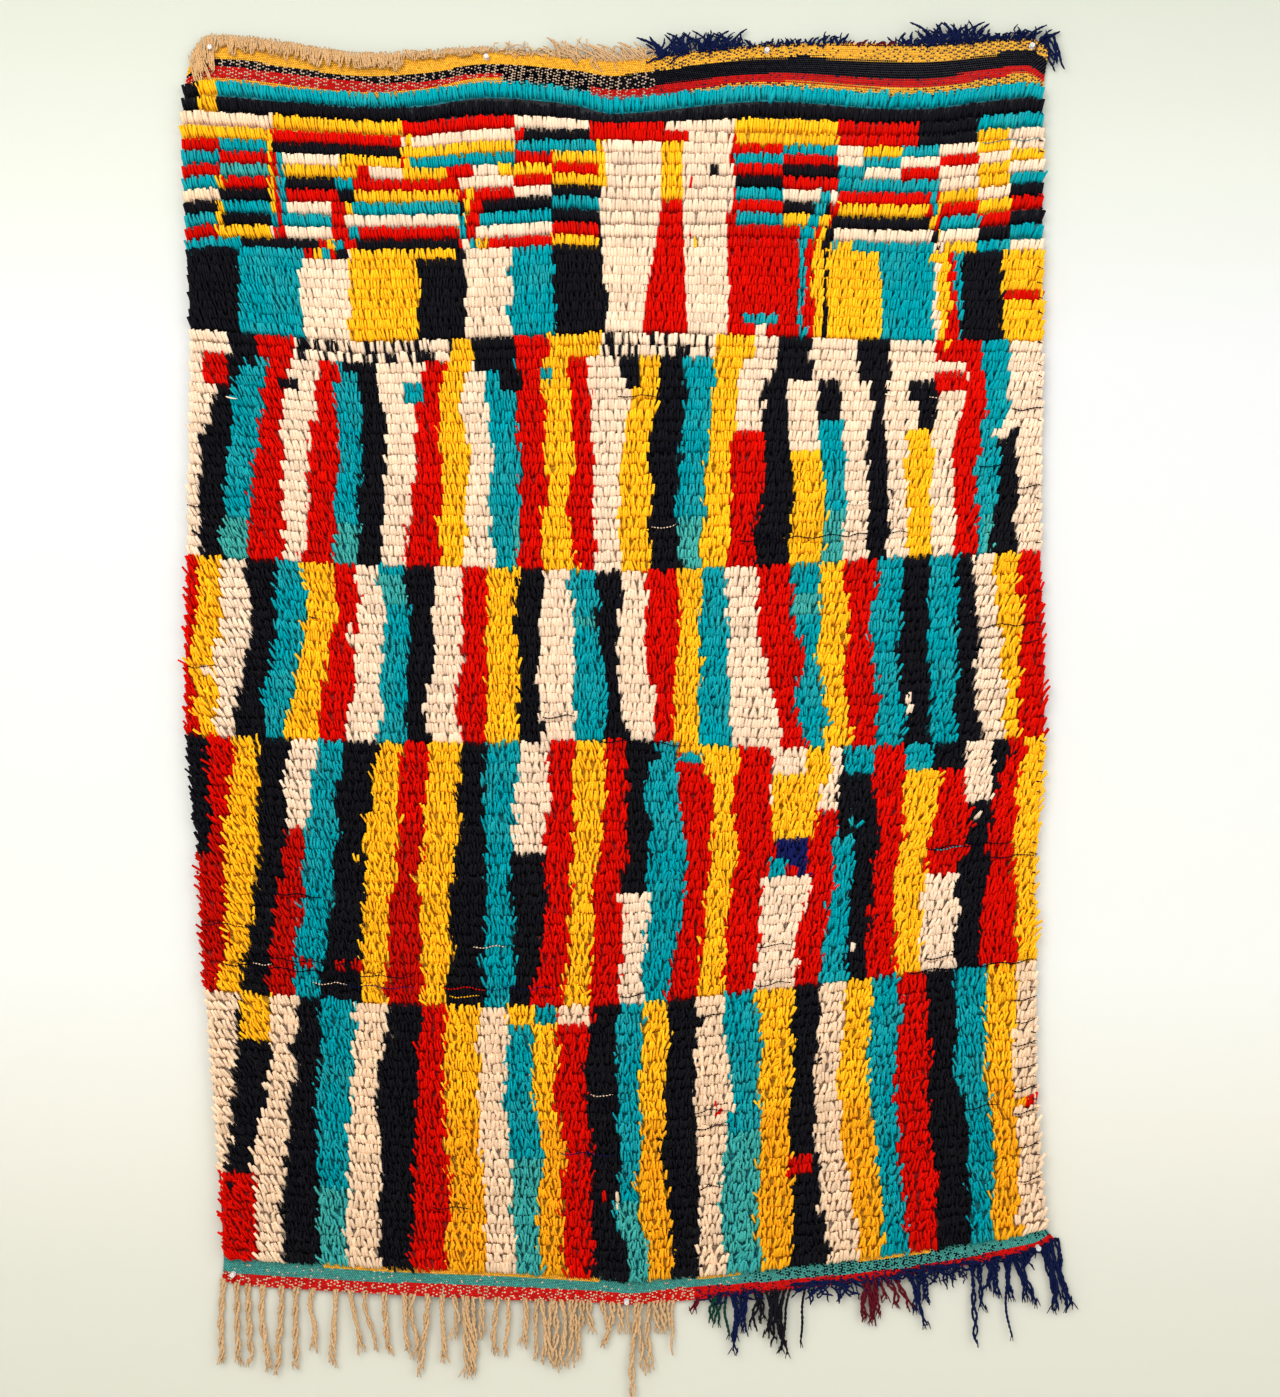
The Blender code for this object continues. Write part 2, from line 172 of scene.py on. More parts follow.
BLOCK_STRIPES = (
    stripe("k", (-613, -613)), stripe("t", (-513, -513)), stripe("n", (-436, -436)),
    stripe("y", (-321, -321)), stripe("k", (-246, -246)), stripe("n", (-172, -172)),
    stripe("t", (-103, -103)), stripe("k", (-36, -20)), stripe("n", (40, 36)), stripe("r", (112, 112)),
    stripe("n", (190, 177)), stripe("r", (296, 292)), stripe("t", (306, 302)), stripe("r", (318, 315)),
    stripe("y", (330, 328)), stripe("k", (341, 339)), stripe("y", (426, 426)), stripe("t", (508, 512)),
    stripe("n", (518, 524)), stripe("y", (530, 537)), stripe("r", (541, 548)), stripe("t", (551, 558)),
    stripe("k", (625, 625)), stripe("y", RIM),
)
SMALL = Band(0, 13, 13, (0, 19), BLOCK_STRIPES)
BLOCKS = Band(13, 19, 9, (0, 19), BLOCK_STRIPES)
MIXED_ROW = Band(19, 21, 2, (19, 21), (
    stripe("n", (-628, -628)), stripe("k", (-586, -586)), stripe("r", (-526, -526)),
    stripe("m", (-270, -270)), stripe("y", (-233, -233)), stripe("k", (-168, -168)),
    stripe("r", (-111, -111)), stripe("y", (-30, -30)), stripe("m", (158, 158)), stripe("y", (215, 215)),
    stripe("n", (260, 260)), stripe("k", (316, 316)), stripe("n", (390, 390)), stripe("k", (442, 442)),
    stripe("n", (516, 516)), stripe("r", (589, 589)), stripe("t", (635, 635)), stripe("n", RIM),
))
FIRST_STRIPES = Band(21, 38, 20, (21.4, 24.4, 28.6, 32.9, 37.6), (
    stripe("n", (-633, -659, -675, -677, -678)),
    stripe("k", (-600, -624, -627, -635, -641)),
    stripe("t", (-561, -574, -582, -595, -596)),
    stripe("r", (-534, -543, -540, -547, -543)),
    stripe("n", (-486, -491, -503, -498, -508)),
    stripe("r", (-451, -457, -449, -460, -459)),
    stripe("t", (-423, -415, -415, -423, -423)),
    stripe("k", (-392, -382, -377, -377, -384)),
    stripe("n", (-322, -327, -327, -332, -342)),
    stripe("r", (-278, -286, -285, -285, -294)),
    stripe("y", (-241, -257, -239, -249, -251)),
    stripe("n", (-213, -210, -205, -210, -200)),
    stripe("t", (-168, -166, -156, -159, -161)),
    stripe("r", (-125, -119, -122, -114, -124)),
    stripe("y", (-83, -76, -70, -80, -72)),
    stripe("r", (-55, -47, -41, -34, -33)),
    stripe("n", (0, 20, 3, 3, 8)),
    stripe("y", (68, 63, 50, 49, 55)),
    stripe("k", (107, 114, 99, 98, 106)),
    stripe("t", (156, 153, 146, 137, 135)),
    stripe("y", (202, 187, 187, 184, 177)),
    stripe("nr", (259, 228, 236, 226, 225), 27),
    stripe("k", (272, 275, 277, 283, 278)),
    stripe("ny", (332, 322, 330, 337, 330), 29),
    stripe("kt", (358, 363, 369, 364, 360), 26),
    stripe("n", (394, 410, 407, 400, 405)),
    stripe("k", (433, 433, 436, 436, 436)),
    stripe("n", (472, 470, 470, 467, 467)),
    stripe("ky", (516, 521, 512, 509, 504), 27),
    stripe("n", (565, 566, 542, 543, 545)),
    stripe("r", (591, 599, 582, 579, 584)),
    stripe("t", (635, 630, 617, 615, 599)),
    stripe("nk", (643, 643, 651, 651, 646), 27),
    stripe("n", RIM),
))
SECOND_STRIPES = Band(38, 53, 18, (39.2, 43, 46.2, 49.5, 52.8), (
    stripe("r", (-683, -680, -693, -687, -680)),
    stripe("y", (-641, -639, -656, -648, -646)),
    stripe("n", (-602, -594, -605, -615, -623)),
    stripe("k", (-552, -550, -556, -574, -569)),
    stripe("t", (-509, -513, -516, -524, -537)),
    stripe("y", (-459, -460, -470, -483, -486)),
    stripe("r", (-423, -423, -423, -433, -444)),
    stripe("n", (-386, -377, -382, -382, -390)),
    stripe("t", (-347, -338, -343, -342, -347)),
    stripe("k", (-294, -303, -301, -314, -306)),
    stripe("n", (-249, -252, -251, -259, -252)),
    stripe("r", (-210, -213, -213, -213, -213)),
    stripe("y", (-161, -169, -155, -161, -164)),
    stripe("k", (-117, -129, -129, -127, -122)),
    stripe("n", (-78, -73, -70, -72, -68)),
    stripe("t", (-34, -37, -26, -20, -18)),
    stripe("k", (8, 2, -3, 3, 15)),
    stripe("n", (46, 50, 47, 59, 57)),
    stripe("r", (98, 101, 93, 98, 91)),
    stripe("y", (140, 130, 140, 124, 132)),
    stripe("t", (174, 179, 172, 177, 187)),
    stripe("n", (226, 226, 241, 252, 264)),
    stripe("r", (283, 281, 306, 285, 301)),
    stripe("t", (325, 327, 327, 338, 332)),
    stripe("y", (369, 369, 363, 368, 373)),
    stripe("r", (423, 408, 415, 421, 417)),
    stripe("t", (462, 457, 454, 456, 459)),
    stripe("k", (504, 504, 491, 504, 506)),
    stripe("t", (548, 542, 547, 542, 550)),
    stripe("k", (574, 581, 582, 576, 592)),
    stripe("n", (605, 618, 620, 626, 622)),
    stripe("y", (646, 657, 649, 654, 646)),
    stripe("r", RIM),
))
THIRD_STRIPES = Band(53, 75, 26, (53.7, 57.9, 62.1, 66.3, 70.5, 74), (
    stripe("kr", (-659, -660, -655, -672, -677, -675), 63),
    stripe("r", (-620, -629, -635, -636, -635, -646)),
    stripe("y", (-576, -579, -580, -587, -589, -605)),
    stripe("k", (-532, -537, -537, -551, -563, -567)),
    stripe("nr", (-483, -501, -509, -512, -524, -526), 61),
    stripe("t", (-444, -458, -463, -462, -471, -482)),
    stripe("k", (-389, -402, -411, -413, -419, -418)),
    stripe("y", (-350, -355, -356, -368, -371, -377)),
    stripe("r", (-306, -312, -321, -322, -316, -322)),
    stripe("y", (-257, -255, -262, -272, -270, -281)),
    stripe("k", (-212, -215, -213, -212, -218, -216)),
    stripe("t", (-158, -169, -174, -174, -163, -176)),
    stripe("nk", (-119, -111, -117, -117, -129, -140), 62),
    stripe("r", (-68, -73, -72, -80, -80, -89)),
    stripe("y", (-20, -24, -29, -42, -42, -46)),
    stripe("r", (18, 10, 15, 0, 7, 3)),
    stripe("kn", (63, 46, 52, 52, 49, 41), 66),
    stripe("t", (96, 98, 107, 104, 93, 81)),
    stripe("r", (140, 148, 151, 143, 138, 135)),
    stripe("y", (194, 184, 194, 179, 177, 172)),
    stripe("r", (252, 249, 257, 226, 234, 220)),
    stripe("n", (304, 322, 307, 314, 285, 283)),
    stripe("nr", (361, 371, 350, 345, 334, 332), 59),
    stripe("t", (363, 371, 382, 381, 373, 369)),
    stripe("k", (407, 418, 421, 413, 402, 399)),
    stripe("r", (467, 464, 459, 447, 447, 451)),
    stripe("y", (516, 522, 504, 493, 491, 491)),
    stripe("rn", (560, 569, 569, 548, 553, 545), 65.6),
    stripe("k", (636, 610, 602, 602, 586, 594)),
    stripe("r", (661, 644, 643, 641, 648, 648)),
    stripe("y", RIM),
))
FOURTH_STRIPES = Band(75, 99, 28, (75.6, 80, 84.3, 88.6, 93, 97.3), (
    stripe("n", (-614, -616, -622, -628, -634, -640)),
    stripe("k", (-560, -561, -572, -590, -594, -595)),
    stripe("n", (-516, -522, -527, -536, -542, -542)),
    stripe("k", (-478, -483, -488, -487, -484, -484)),
    stripe("t", (-426, -428, -431, -436, -439, -442)),
    stripe("n", (-369, -384, -395, -386, -386, -387)),
    stripe("k", (-319, -325, -328, -328, -330, -332)),
    stripe("r", (-277, -280, -281, -275, -275, -277)),
    stripe("y", (-225, -221, -225, -221, -216, -215)),
    stripe("n", (-177, -179, -179, -174, -171, -164)),
    stripe("t", (-133, -140, -133, -125, -132, -125)),
    stripe("y", (-101, -96, -98, -85, -91, -86)),
    stripe("r", (-41, -49, -50, -42, -41, -46)),
    stripe("k", (3, -3, -3, 7, -2, 15)),
    stripe("t", (42, 36, 34, 36, 28, 50)),
    stripe("y", (80, 80, 75, 72, 81, 88)),
    stripe("k", (122, 124, 122, 129, 133, 127)),
    stripe("n", (174, 176, 184, 169, 166, 174)),
    stripe("t", (226, 231, 229, 233, 226, 231)),
    stripe("y", (280, 283, 280, 278, 281, 285)),
    stripe("k", (324, 321, 316, 322, 329, 338)),
    stripe("n", (369, 363, 355, 361, 376, 390)),
    stripe("y", (412, 408, 410, 417, 425, 430)),
    stripe("t", (451, 459, 452, 451, 462, 472)),
    stripe("r", (501, 504, 501, 508, 517, 521)),
    stripe("k", (547, 552, 547, 571, 573, 573)),
    stripe("t", (597, 604, 596, 612, 612, 610)),
    stripe("y", (643, 644, 638, 646, 651, 651)),
    stripe("n", RIM),
))
BANDS = (SMALL, BLOCKS, MIXED_ROW, FIRST_STRIPES, SECOND_STRIPES, THIRD_STRIPES, FOURTH_STRIPES)

# The small blocks under the top row, in columns: the left and right sides in millimetres from the rug's
# middle, the first row, and a letter for the dye of each row down the column.
Column = namedtuple("Column", "left right first dyes")
SMALL_BLOCKS = (
    Column(-730, 730, 0, "tk"),
    Column(-730, -646, 2, "nyrtrtnktrt"),
    Column(-646, -562, 2, "nytrtrktkyk"),
    Column(-562, -452, 2, "yrknykrntnk"),
    Column(-452, -350, 2, "yrkynrytnrk"),
    Column(-350, -257, 2, "rnytyrytnrk"),
    Column(-257, -168, 2, "rnytnnrktnr"),
    Column(-168, -108, 2, "nktryrnktnr"),
    Column(-108, -30, 2, "nktyryktkry"),
    Column(-46, 76, 2, "rr"),
    Column(76, 190, 2, "n"),
    Column(190, 268, 2, "yyrtrktrt"),
    Column(268, 356, 2, "yytrkrnky"),
    Column(356, 399, 2, "rrnnttrykn"),
    Column(399, 459, 2, "rrytntrykn"),
    Column(459, 521, 2, "rrtnrtrykn"),
    Column(521, 584, 2, "kknrnnyrtny"),
    Column(584, 636, 2, "tyynyynyrkt"),
    Column(636, 730, 2, "tnnyntkrktn"),
)

# Patches lie over the stripes and blocks: a dye between two sides, which lean from the patch's first row
# to its last. Sides are in millimetres from the rug's middle, and later patches lie over earlier ones.
Patch = namedtuple("Patch", "dye left right first last left_end right_end")


def patch(letter, left, right, first, last, shift=0, spread=0):
    """A patch whose sides move by shift down its length, with the right side moving by spread more."""
    return Patch(letter, left, right, first, last, left + shift, right + shift + spread)


PATCHES = (
    # the top corners and the top row
    patch("k", -730, -683, 0, 2), patch("y", -683, -652, 0, 2), patch("k", 488, 581, 1.6, 4),
    # thin lines and bits between the small blocks at the left
    patch("y", -571, -562, 3, 10.5, 10), patch("r", -562, -555, 5, 11, 10, 5),
    patch("t", -555, -545, 5, 11, 11), patch("r", -556, -538, 11, 12), patch("y", -650, -639, 7, 8),
    patch("y", -650, -639, 9, 12), patch("t", -646, -610, 12, 13), patch("k", -562, -488, 12, 13),
    patch("r", -486, -473, 12, 13), patch("y", -473, -457, 12, 13), patch("t", -457, -444, 12, 13),
    patch("r", -444, -423, 12, 13), patch("y", -452, -423, 6, 7), patch("r", -423, -403, 6, 7),
    patch("t", -459, -430, 7, 8), patch("r", -430, -350, 7, 8), patch("k", -452, -428, 8, 9),
    patch("r", -464, -442, 9, 12), patch("y", -442, -430, 9, 10.5), patch("t", -437, -420, 11, 12),
    patch("r", -509, -493, 13, 14), patch("y", -493, -480, 13, 14), patch("t", -480, -467, 13, 14),
    patch("r", -467, -456, 13, 14), patch("k", -456, -436, 13, 14), patch("y", -321, -262, 13, 14),
    patch("k", -262, -246, 13, 14), patch("r", -277, -233, 6, 7.5), patch("y", -195, -117, 6, 7),
    patch("y", -246, -233, 8.4, 12, -14), patch("r", -233, -212, 8.4, 12, -22),
    patch("t", -257, -246, 10, 12), patch("n", -251, -239, 12, 13), patch("t", -239, -228, 12, 13),
    patch("y", -228, -214, 12, 13), patch("r", -214, -204, 12, 13), patch("r", -168, -153, 3, 4),
    patch("y", -35, -22, 4, 8, 4),
    # the tall middle blocks
    patch("y", -346, -336, 3, 6.4), patch("r", -353, -346, 4.8, 6.4), patch("n", 30, 116, 4, 19),
    patch("y", 70, 104, 3.6, 8.6), patch("r", 74, 104, 8.6, 19, -36, 44), patch("k", 150, 162, 6, 7),
    patch("y", 124, 130, 12.4, 13.2),
    # the thin leaning lines right of the middle
    patch("t", 505, 515, 8, 10, 6), patch("r", 497, 507, 9, 11, 18), patch("y", 501, 512, 10, 12, 14),
    patch("k", 505, 516, 11, 13, 12), patch("t", 348, 427, 12, 13), patch("n", 516, 526, 12, 13, 4),
    patch("t", 332, 350, 8, 13, -44, -4), patch("r", 350, 362, 9, 13, -46),
    patch("y", 338, 350, 9.6, 13, -22), patch("k", 350, 360, 10, 13, -20), patch("n", 350, 508, 11, 12),
    patch("y", 356, 380, 12, 13), patch("t", 202, 260, 17.6, 18.6), patch("n", 223, 239, 18.2, 19),
    patch("y", 504, 532, 12.6, 14), patch("r", 626, 690, 15.6, 16.4),
    # first stripes
    patch("k", 260, 316, 21, 22.7), patch("n", 316, 390, 21, 22.7), patch("k", 390, 442, 21, 22.7),
    patch("n", 442, 516, 21, 22.7), patch("r", -673, -632, 21.4, 23.6), patch("k", -600, -584, 21, 21.5),
    patch("k", -548, -517, 22.6, 23.6), patch("k", -447, -390, 21, 21.8),
    patch("t", -347, -314, 22.8, 24.5), patch("k", -233, -168, 21, 21.7),
    patch("t", -216, -192, 22.4, 24), patch("k", -192, -155, 22.2, 23.7),
    patch("t", -125, -108, 22.2, 23), patch("k", -3, 34, 21, 23.6, 16, -14),
    patch("y", 528, 537, 19.6, 20.2), patch("n", 232, 240, 24.6, 25.4), patch("r", 514, 566, 21.6, 23.8),
    patch("n", 469, 487, 24.8, 26.8), patch("n", 507, 530, 27.4, 28.3), patch("n", 604, 634, 26.9, 28.1),
    # second stripes
    patch("n", -672, -652, 47, 48), patch("n", -439, -430, 43.6, 44.4), patch("n", 468, 476, 49.4, 50.2),
    # third stripes
    patch("t", 100, 137, 53.6, 55), patch("y", 137, 150, 53, 55.2), patch("y", 96, 137, 53, 53.7),
    patch("n", 249, 304, 53, 55.4), patch("y", 304, 343, 53.4, 56),
    patch("y", 249, 330, 55.4, 61.7, 0, -14), patch("r", 240, 345, 61.7, 65),
    patch("b", 256, 306, 61.7, 64), patch("t", 242, 272, 63.4, 65), patch("b", 290, 304, 64, 65),
    patch("t", 366, 415, 53, 55.3), patch("k", 355, 378, 55.3, 61.2), patch("t", 464, 516, 53, 55.6),
    patch("k", 508, 565, 53, 55.4), patch("n", 561, 605, 53, 59), patch("r", -516, -493, 71.6, 72.4),
    patch("r", -460, -441, 71.4, 72.6), patch("r", -431, -413, 71.2, 72.4),
    patch("y", -426, -420, 62.6, 63.2), patch("n", 377, 385, 72, 72.8), patch("n", 577, 585, 59.6, 60.4),
    # fourth stripes
    patch("y", -609, -562, 75, 79.6), patch("r", -649, -584, 91.6, 99),
    patch("k", -628, -618, 92.2, 93.2), patch("y", -181, -134, 75, 76.6),
    patch("t", -134, -100, 75, 76.5), patch("n", -98, -46, 75, 76.8), patch("r", 273, 316, 89.8, 91.6),
    patch("y", 641, 662, 87, 87.8), patch("r", 662, 680, 87.2, 88), patch("n", -4, 3, 91.8, 92.6),
    patch("r", -25, -18, 91.5, 92.2), patch("r", 156, 162, 84.6, 85.2),
)

# Where the wool has faded: the dye, the sides in millimetres, and the first and last rows.
Faded = namedtuple("Faded", "letter left right first last")
FADED = (
    Faded("t", -170, 380, 33, 38),
    Faded("t", 590, 640, 34, 38),
    Faded("t", -390, -330, 38.6, 41),
    Faded("t", 280, 330, 40, 41.5),
    Faded("t", -70, -20, 41.5, 43),
    Faded("t", -645, -560, 6, 7),
    Faded("t", -180, -120, 88.5, 99),
    Faded("t", 160, 240, 87, 99),
    Faded("t", -645, -590, 34, 38),
    Faded("t", -460, -405, 34.4, 38),
    Faded("t", -500, -430, 91.5, 99),
    Faded("t", 0, 60, 92, 99),
    Faded("y", -700, 700, 85, 99),
    Faded("r", -700, -200, 60, 75),
    Faded("n", -720, -560, 0, 19),
    Faded("n", -720, 720, 75, 99),
)

# The way the pile lies, in degrees from straight up, turning to the right, across the rug at five rows.
LAY_STATIONS = (-0.70, -0.665, -0.61, -0.50, 0.0, 0.30, 0.45, 0.60, 0.69)
Lay = namedtuple("Lay", "row degrees")
LAYS = (
    Lay(0, (-8, -9, -8, -5, 0, 4, 7, 9, 12)),
    Lay(22, (-10, -18, -22, -12, 0, 6, 9, 12, 14)),
    Lay(60, (-22, -28, -22, -8, 0, 10, 15, 18, 16)),
    Lay(82, (-14, -28, -30, -10, 0, 8, 6, -8, 14)),
    Lay(99, (-18, -28, -26, -10, 0, 6, 4, -10, 16)),
)

# Each tassel hangs from the hem at x, in millimetres from the rug's middle. It is so long and drifts so far
# sideways, also in millimetres, and has that number of yarns, wound round each other.
Tassel = namedtuple("Tassel", "x length drift yarns")
NATURAL_TASSELS = (
    Tassel(-644, 129, -3, 3), Tassel(-623, 127, 5, 3), Tassel(-604, 125, 5, 3), Tassel(-579, 132, 5, 3),
    Tassel(-550, 135, -3, 3), Tassel(-524, 124, -3, 3), Tassel(-493, 96, -8, 3), Tassel(-460, 118, -5, 3),
    Tassel(-436, 96, 16, 3), Tassel(-410, 90, 10, 2), Tassel(-382, 95, 8, 3), Tassel(-351, 90, 10, 3),
    Tassel(-330, 104, -5, 2), Tassel(-309, 126, -13, 3), Tassel(-285, 102, 0, 3), Tassel(-265, 64, 0, 2),
    Tassel(-250, 123, 3, 2), Tassel(-241, 125, 0, 3), Tassel(-233, 120, -4, 2), Tassel(-222, 60, 0, 2),
    Tassel(-200, 86, 0, 3), Tassel(-181, 88, 0, 2), Tassel(-151, 72, 0, 3), Tassel(-132, 90, -3, 2),
    Tassel(-122, 96, 2, 2), Tassel(-112, 102, 4, 2), Tassel(-101, 98, -3, 2), Tassel(-91, 108, 2, 3),
    Tassel(-80, 100, 5, 2), Tassel(-69, 90, 2, 2), Tassel(-58, 45, -4, 2), Tassel(-48, 45, 5, 2),
    Tassel(-21, 66, 0, 2), Tassel(-9, 40, -4, 2), Tassel(3, 42, 2, 2), Tassel(14, 40, 3, 1),
    Tassel(28, 158, -5, 2), Tassel(37, 108, 0, 2), Tassel(49, 106, 2, 2), Tassel(61, 42, 3, 2),
    Tassel(72, 44, 4, 2), Tassel(82, 40, 2, 1), Tassel(90, 80, -3, 1),
)
DARK_TASSELS = (
    Tassel(133, 18, -12, 2), Tassel(158, 34, -8, 2), Tassel(166, 44, -6, 2), Tassel(172, 64, 10, 1),
    Tassel(188, 70, 4, 3), Tassel(194, 92, 2, 2), Tassel(207, 62, -2, 3), Tassel(224, 56, -2, 2),
    Tassel(233, 46, 0, 3), Tassel(242, 70, 6, 2), Tassel(249, 84, 4, 2), Tassel(256, 64, 2, 3),
    Tassel(262, 104, 2, 2), Tassel(270, 90, -4, 2), Tassel(279, 98, -12, 1), Tassel(303, 92, -5, 1),
    Tassel(398, 62, 6, 3), Tassel(407, 70, 8, 3), Tassel(417, 58, 6, 3), Tassel(428, 34, 4, 2),
    Tassel(440, 46, 12, 2), Tassel(452, 52, 22, 2), Tassel(476, 60, 10, 3), Tassel(486, 86, 14, 2),
    Tassel(494, 46, 10, 3), Tassel(577, 128, 6, 2), Tassel(585, 74, 10, 2), Tassel(600, 44, 6, 3),
    Tassel(611, 56, 6, 3), Tassel(631, 128, 8, 1), Tassel(636, 66, 4, 3), Tassel(652, 70, 8, 3),
    Tassel(664, 82, 8, 3), Tassel(694, 104, 18, 3), Tassel(700, 100, 16, 3), Tassel(708, 112, 24, 3),
    Tassel(712, 104, 25, 3),
)

# The places of the dark tassels that aren't black.
DARK_RED_TASSELS = (133, 398, 407, 417, 428, 440, 452)
DARK_GREEN_TASSELS = (158, 166, 172)

# Stretches of short ends: first and last x in metres, how many, their length, and their lean to the right
# for each metre of length.
Stretch = namedtuple("Stretch", "first last ends length lean")
STANDING_NATURAL = (
    Stretch(-0.205, -0.095, 26, 0.012, -0.3), Stretch(-0.095, -0.045, 16, 0.036, -0.7),
    Stretch(-0.040, 0.060, 30, 0.028, -0.8), Stretch(-0.098, -0.060, 3, 0.044, -0.05),
)
STANDING_DARK = (
    Stretch(0.066, 0.120, 22, 0.036, -0.1), Stretch(0.128, 0.190, 24, 0.034, 0.1),
    Stretch(0.190, 0.300, 24, 0.013, 0.3), Stretch(0.305, 0.368, 12, 0.020, 0.2),
    Stretch(0.450, 0.505, 16, 0.022, 0.2), Stretch(0.505, 0.585, 36, 0.037, 0.2),
    Stretch(0.585, 0.670, 22, 0.018, 0.4), Stretch(0.640, 0.700, 10, 0.026, 0.5),
)
FRIZZ = (
    Stretch(0.298, 0.386, 44, 0.030, 0.1), Stretch(0.386, 0.470, 14, 0.016, 0.1),
    Stretch(0.470, 0.575, 44, 0.030, 0.2), Stretch(0.575, 0.700, 34, 0.026, 0.2),
    Stretch(0.145, 0.225, 16, 0.020, 0.0),
)
STANDING_RED = Stretch(0.365, 0.450, 22, 0.010, 0.3)
FLUFF = Stretch(-0.205, 0.060, 60, 0.018, 0.0)
FOLDED_LOOPS = (Stretch(-0.699, -0.660, 16, 0.056, 0.1), Stretch(-0.664, -0.350, 112, 0.028, 0.05),
                Stretch(-0.350, -0.208, 50, 0.014, 0.05))

# Wefts that show across the pile: the row, from where to where in millimetres, and the dye.
Weft = namedtuple("Weft", "row left right dye")
LOOSE_WEFTS = (
    Weft(35.6, 198, 475, "k"), Weft(24, 0, 120, "k"), Weft(43.6, 580, 690, "k"),
    Weft(42.4, -501, -485, "k"), Weft(50.6, -122, -70, "k"), Weft(52.9, -30, 110, "k"),
    Weft(74.6, 470, 690, "k"), Weft(73.3, -495, -440, "n"), Weft(72.4, -640, -330, "k"),
    Weft(71.6, -590, -420, "k"), Weft(64.2, 560, 690, "k"), Weft(62.8, 500, 640, "k"),
    Weft(25, 640, 690, "k"), Weft(32, 640, 690, "k"), Weft(45, 650, 690, "k"), Weft(30, 586, 640, "k"),
    Weft(28, 60, 110, "k"), Weft(78, 640, 680, "k"), Weft(80, 645, 680, "k"), Weft(82, 640, 680, "k"),
    Weft(84, 645, 682, "k"), Weft(86, 640, 680, "k"), Weft(88, 640, 682, "k"), Weft(91, 650, 684, "k"),
    Weft(94, 650, 688, "k"), Weft(84.6, 110, 180, "k"), Weft(76.4, 120, 176, "k"), Weft(86, 122, 184, "k"),
    Weft(91.2, 110, 170, "k"), Weft(83, -40, 10, "k"), Weft(87, 560, 620, "k"), Weft(93, -300, -240, "k"),
    Weft(33.6, -700, -640, "k"), Weft(47, -700, -650, "k"), Weft(69, -680, -600, "k"),
    Weft(66, -560, -480, "k"), Weft(73.3, -440, -330, "b"), Weft(73.2, -285, -215, "r"),
    Weft(73.9, -273, -225, "y"), Weft(73.2, -215, -100, "b"), Weft(4.0, 592, 687, "t"),
    Weft(62.9, 514, 560, "t"), Weft(34.3, 55, 94, "n"), Weft(72.1, -592, -562, "n"),
    Weft(64.8, -712, -694, "n"), Weft(23.6, 434, 452, "n"), Weft(23.8, 506, 532, "n"),
    Weft(69.7, -234, -182, "n"), Weft(73.4, 498, 546, "k"), Weft(74.2, 223, 283, "k"),
    Weft(70.7, 225, 283, "k"), Weft(74, 3, 45, "k"), Weft(82.5, -44, -8, "n"), Weft(87.7, -94, -8, "b"),
    Weft(33, 372, 410, "n"), Weft(24.4, -636, -618, "n"),
)

# The thinner wool of the flat-woven ends.
FLAT_DYES = {
    "natural": (0.62, 0.44, 0.29), "yellow": (0.86, 0.44, 0.035), "red": (0.56, 0.006, 0.004),
    "teal": (0.06, 0.29, 0.25), "black": (0.001, 0.001, 0.004), "navy": (0.006, 0.007, 0.04),
}

# The bands of the flat-woven ends: shares of the way down where each colour ends, at stations across.
HEADING_STATIONS = (-0.66, -0.43, -0.20, 0.0, 0.30, 0.54, 0.67)
YELLOW_ENDS = (0.40, 0.52, 0.48, 0.45, 0.30, 0.38, 0.27)
BLACK_ENDS = (0.62, 0.67, 0.80, 0.85, 0.70, 0.70, 0.60)
RED_ENDS = (0.95, 0.95, 0.95, 1.0, 0.93, 0.90, 0.79)
HEM_STATIONS = (-0.64, -0.35, 0.03, 0.10, 0.23, 0.38, 0.46, 0.62)
TEAL_ENDS = (0.57, 0.52, 0.50, 0.38, 0.52, 0.60, 0.66, 0.57)

# A push pin's head, from the cloth out: radius and height.
PIN_HEAD = (
    (0.0, 0.0), (0.0042, 0.0), (0.0046, 0.0003), (0.0046, 0.0010), (0.0041, 0.0015), (0.0030, 0.0026),
    (0.0025, 0.0040), (0.0024, 0.0070), (0.0029, 0.0086), (0.0040, 0.0097), (0.0043, 0.0103),
    (0.0042, 0.0110), (0.0036, 0.0116), (0.0020, 0.0118), (0.0, 0.0118),
)
NEEDLE_RADIUS = 0.0006


def curve_through(stations, values, at):
    """A smooth curve through the values at the stations, read at one place."""
    last = len(stations) - 1
    i = max(k for k in range(last) if stations[k] <= at or k == 0)
    slopes = []
    for k in (i, i + 1):
        before, after = max(k - 1, 0), min(k + 1, last)
        slopes.append((values[after] - values[before]) / (stations[after] - stations[before]))
    span = stations[i + 1] - stations[i]
    t = (at - stations[i]) / span
    return (values[i] * (1 + 2 * t) * (1 - t) ** 2 + slopes[0] * span * t * (1 - t) ** 2
            + values[i + 1] * t * t * (3 - 2 * t) - slopes[1] * span * t * t * (1 - t))


def between(stations, values, at):
    """The value at one place on straight lines between the stations, level past the ends."""
    if at <= stations[0]:
        return values[0]
    if at >= stations[len(stations) - 1]:
        return values[len(stations) - 1]
    i = bisect.bisect_right(stations, at) - 1
    share = (at - stations[i]) / (stations[i + 1] - stations[i])
    return values[i] + (values[i + 1] - values[i]) * share


def height_at(across, row):
    """How high the weave lies at that place. The top pins are at 0."""
    lower = next(k for k in range(1, len(COURSES)) if row <= COURSES[k].row or k == len(COURSES) - 1)
    above, below = COURSES[lower - 1], COURSES[lower]
    share = (row - above.row) / (below.row - above.row)
    drop_above = curve_through(STATIONS, above.drops, across)
    drop_below = curve_through(STATIONS, below.drops, across)
    return -(drop_above + (drop_below - drop_above) * share)


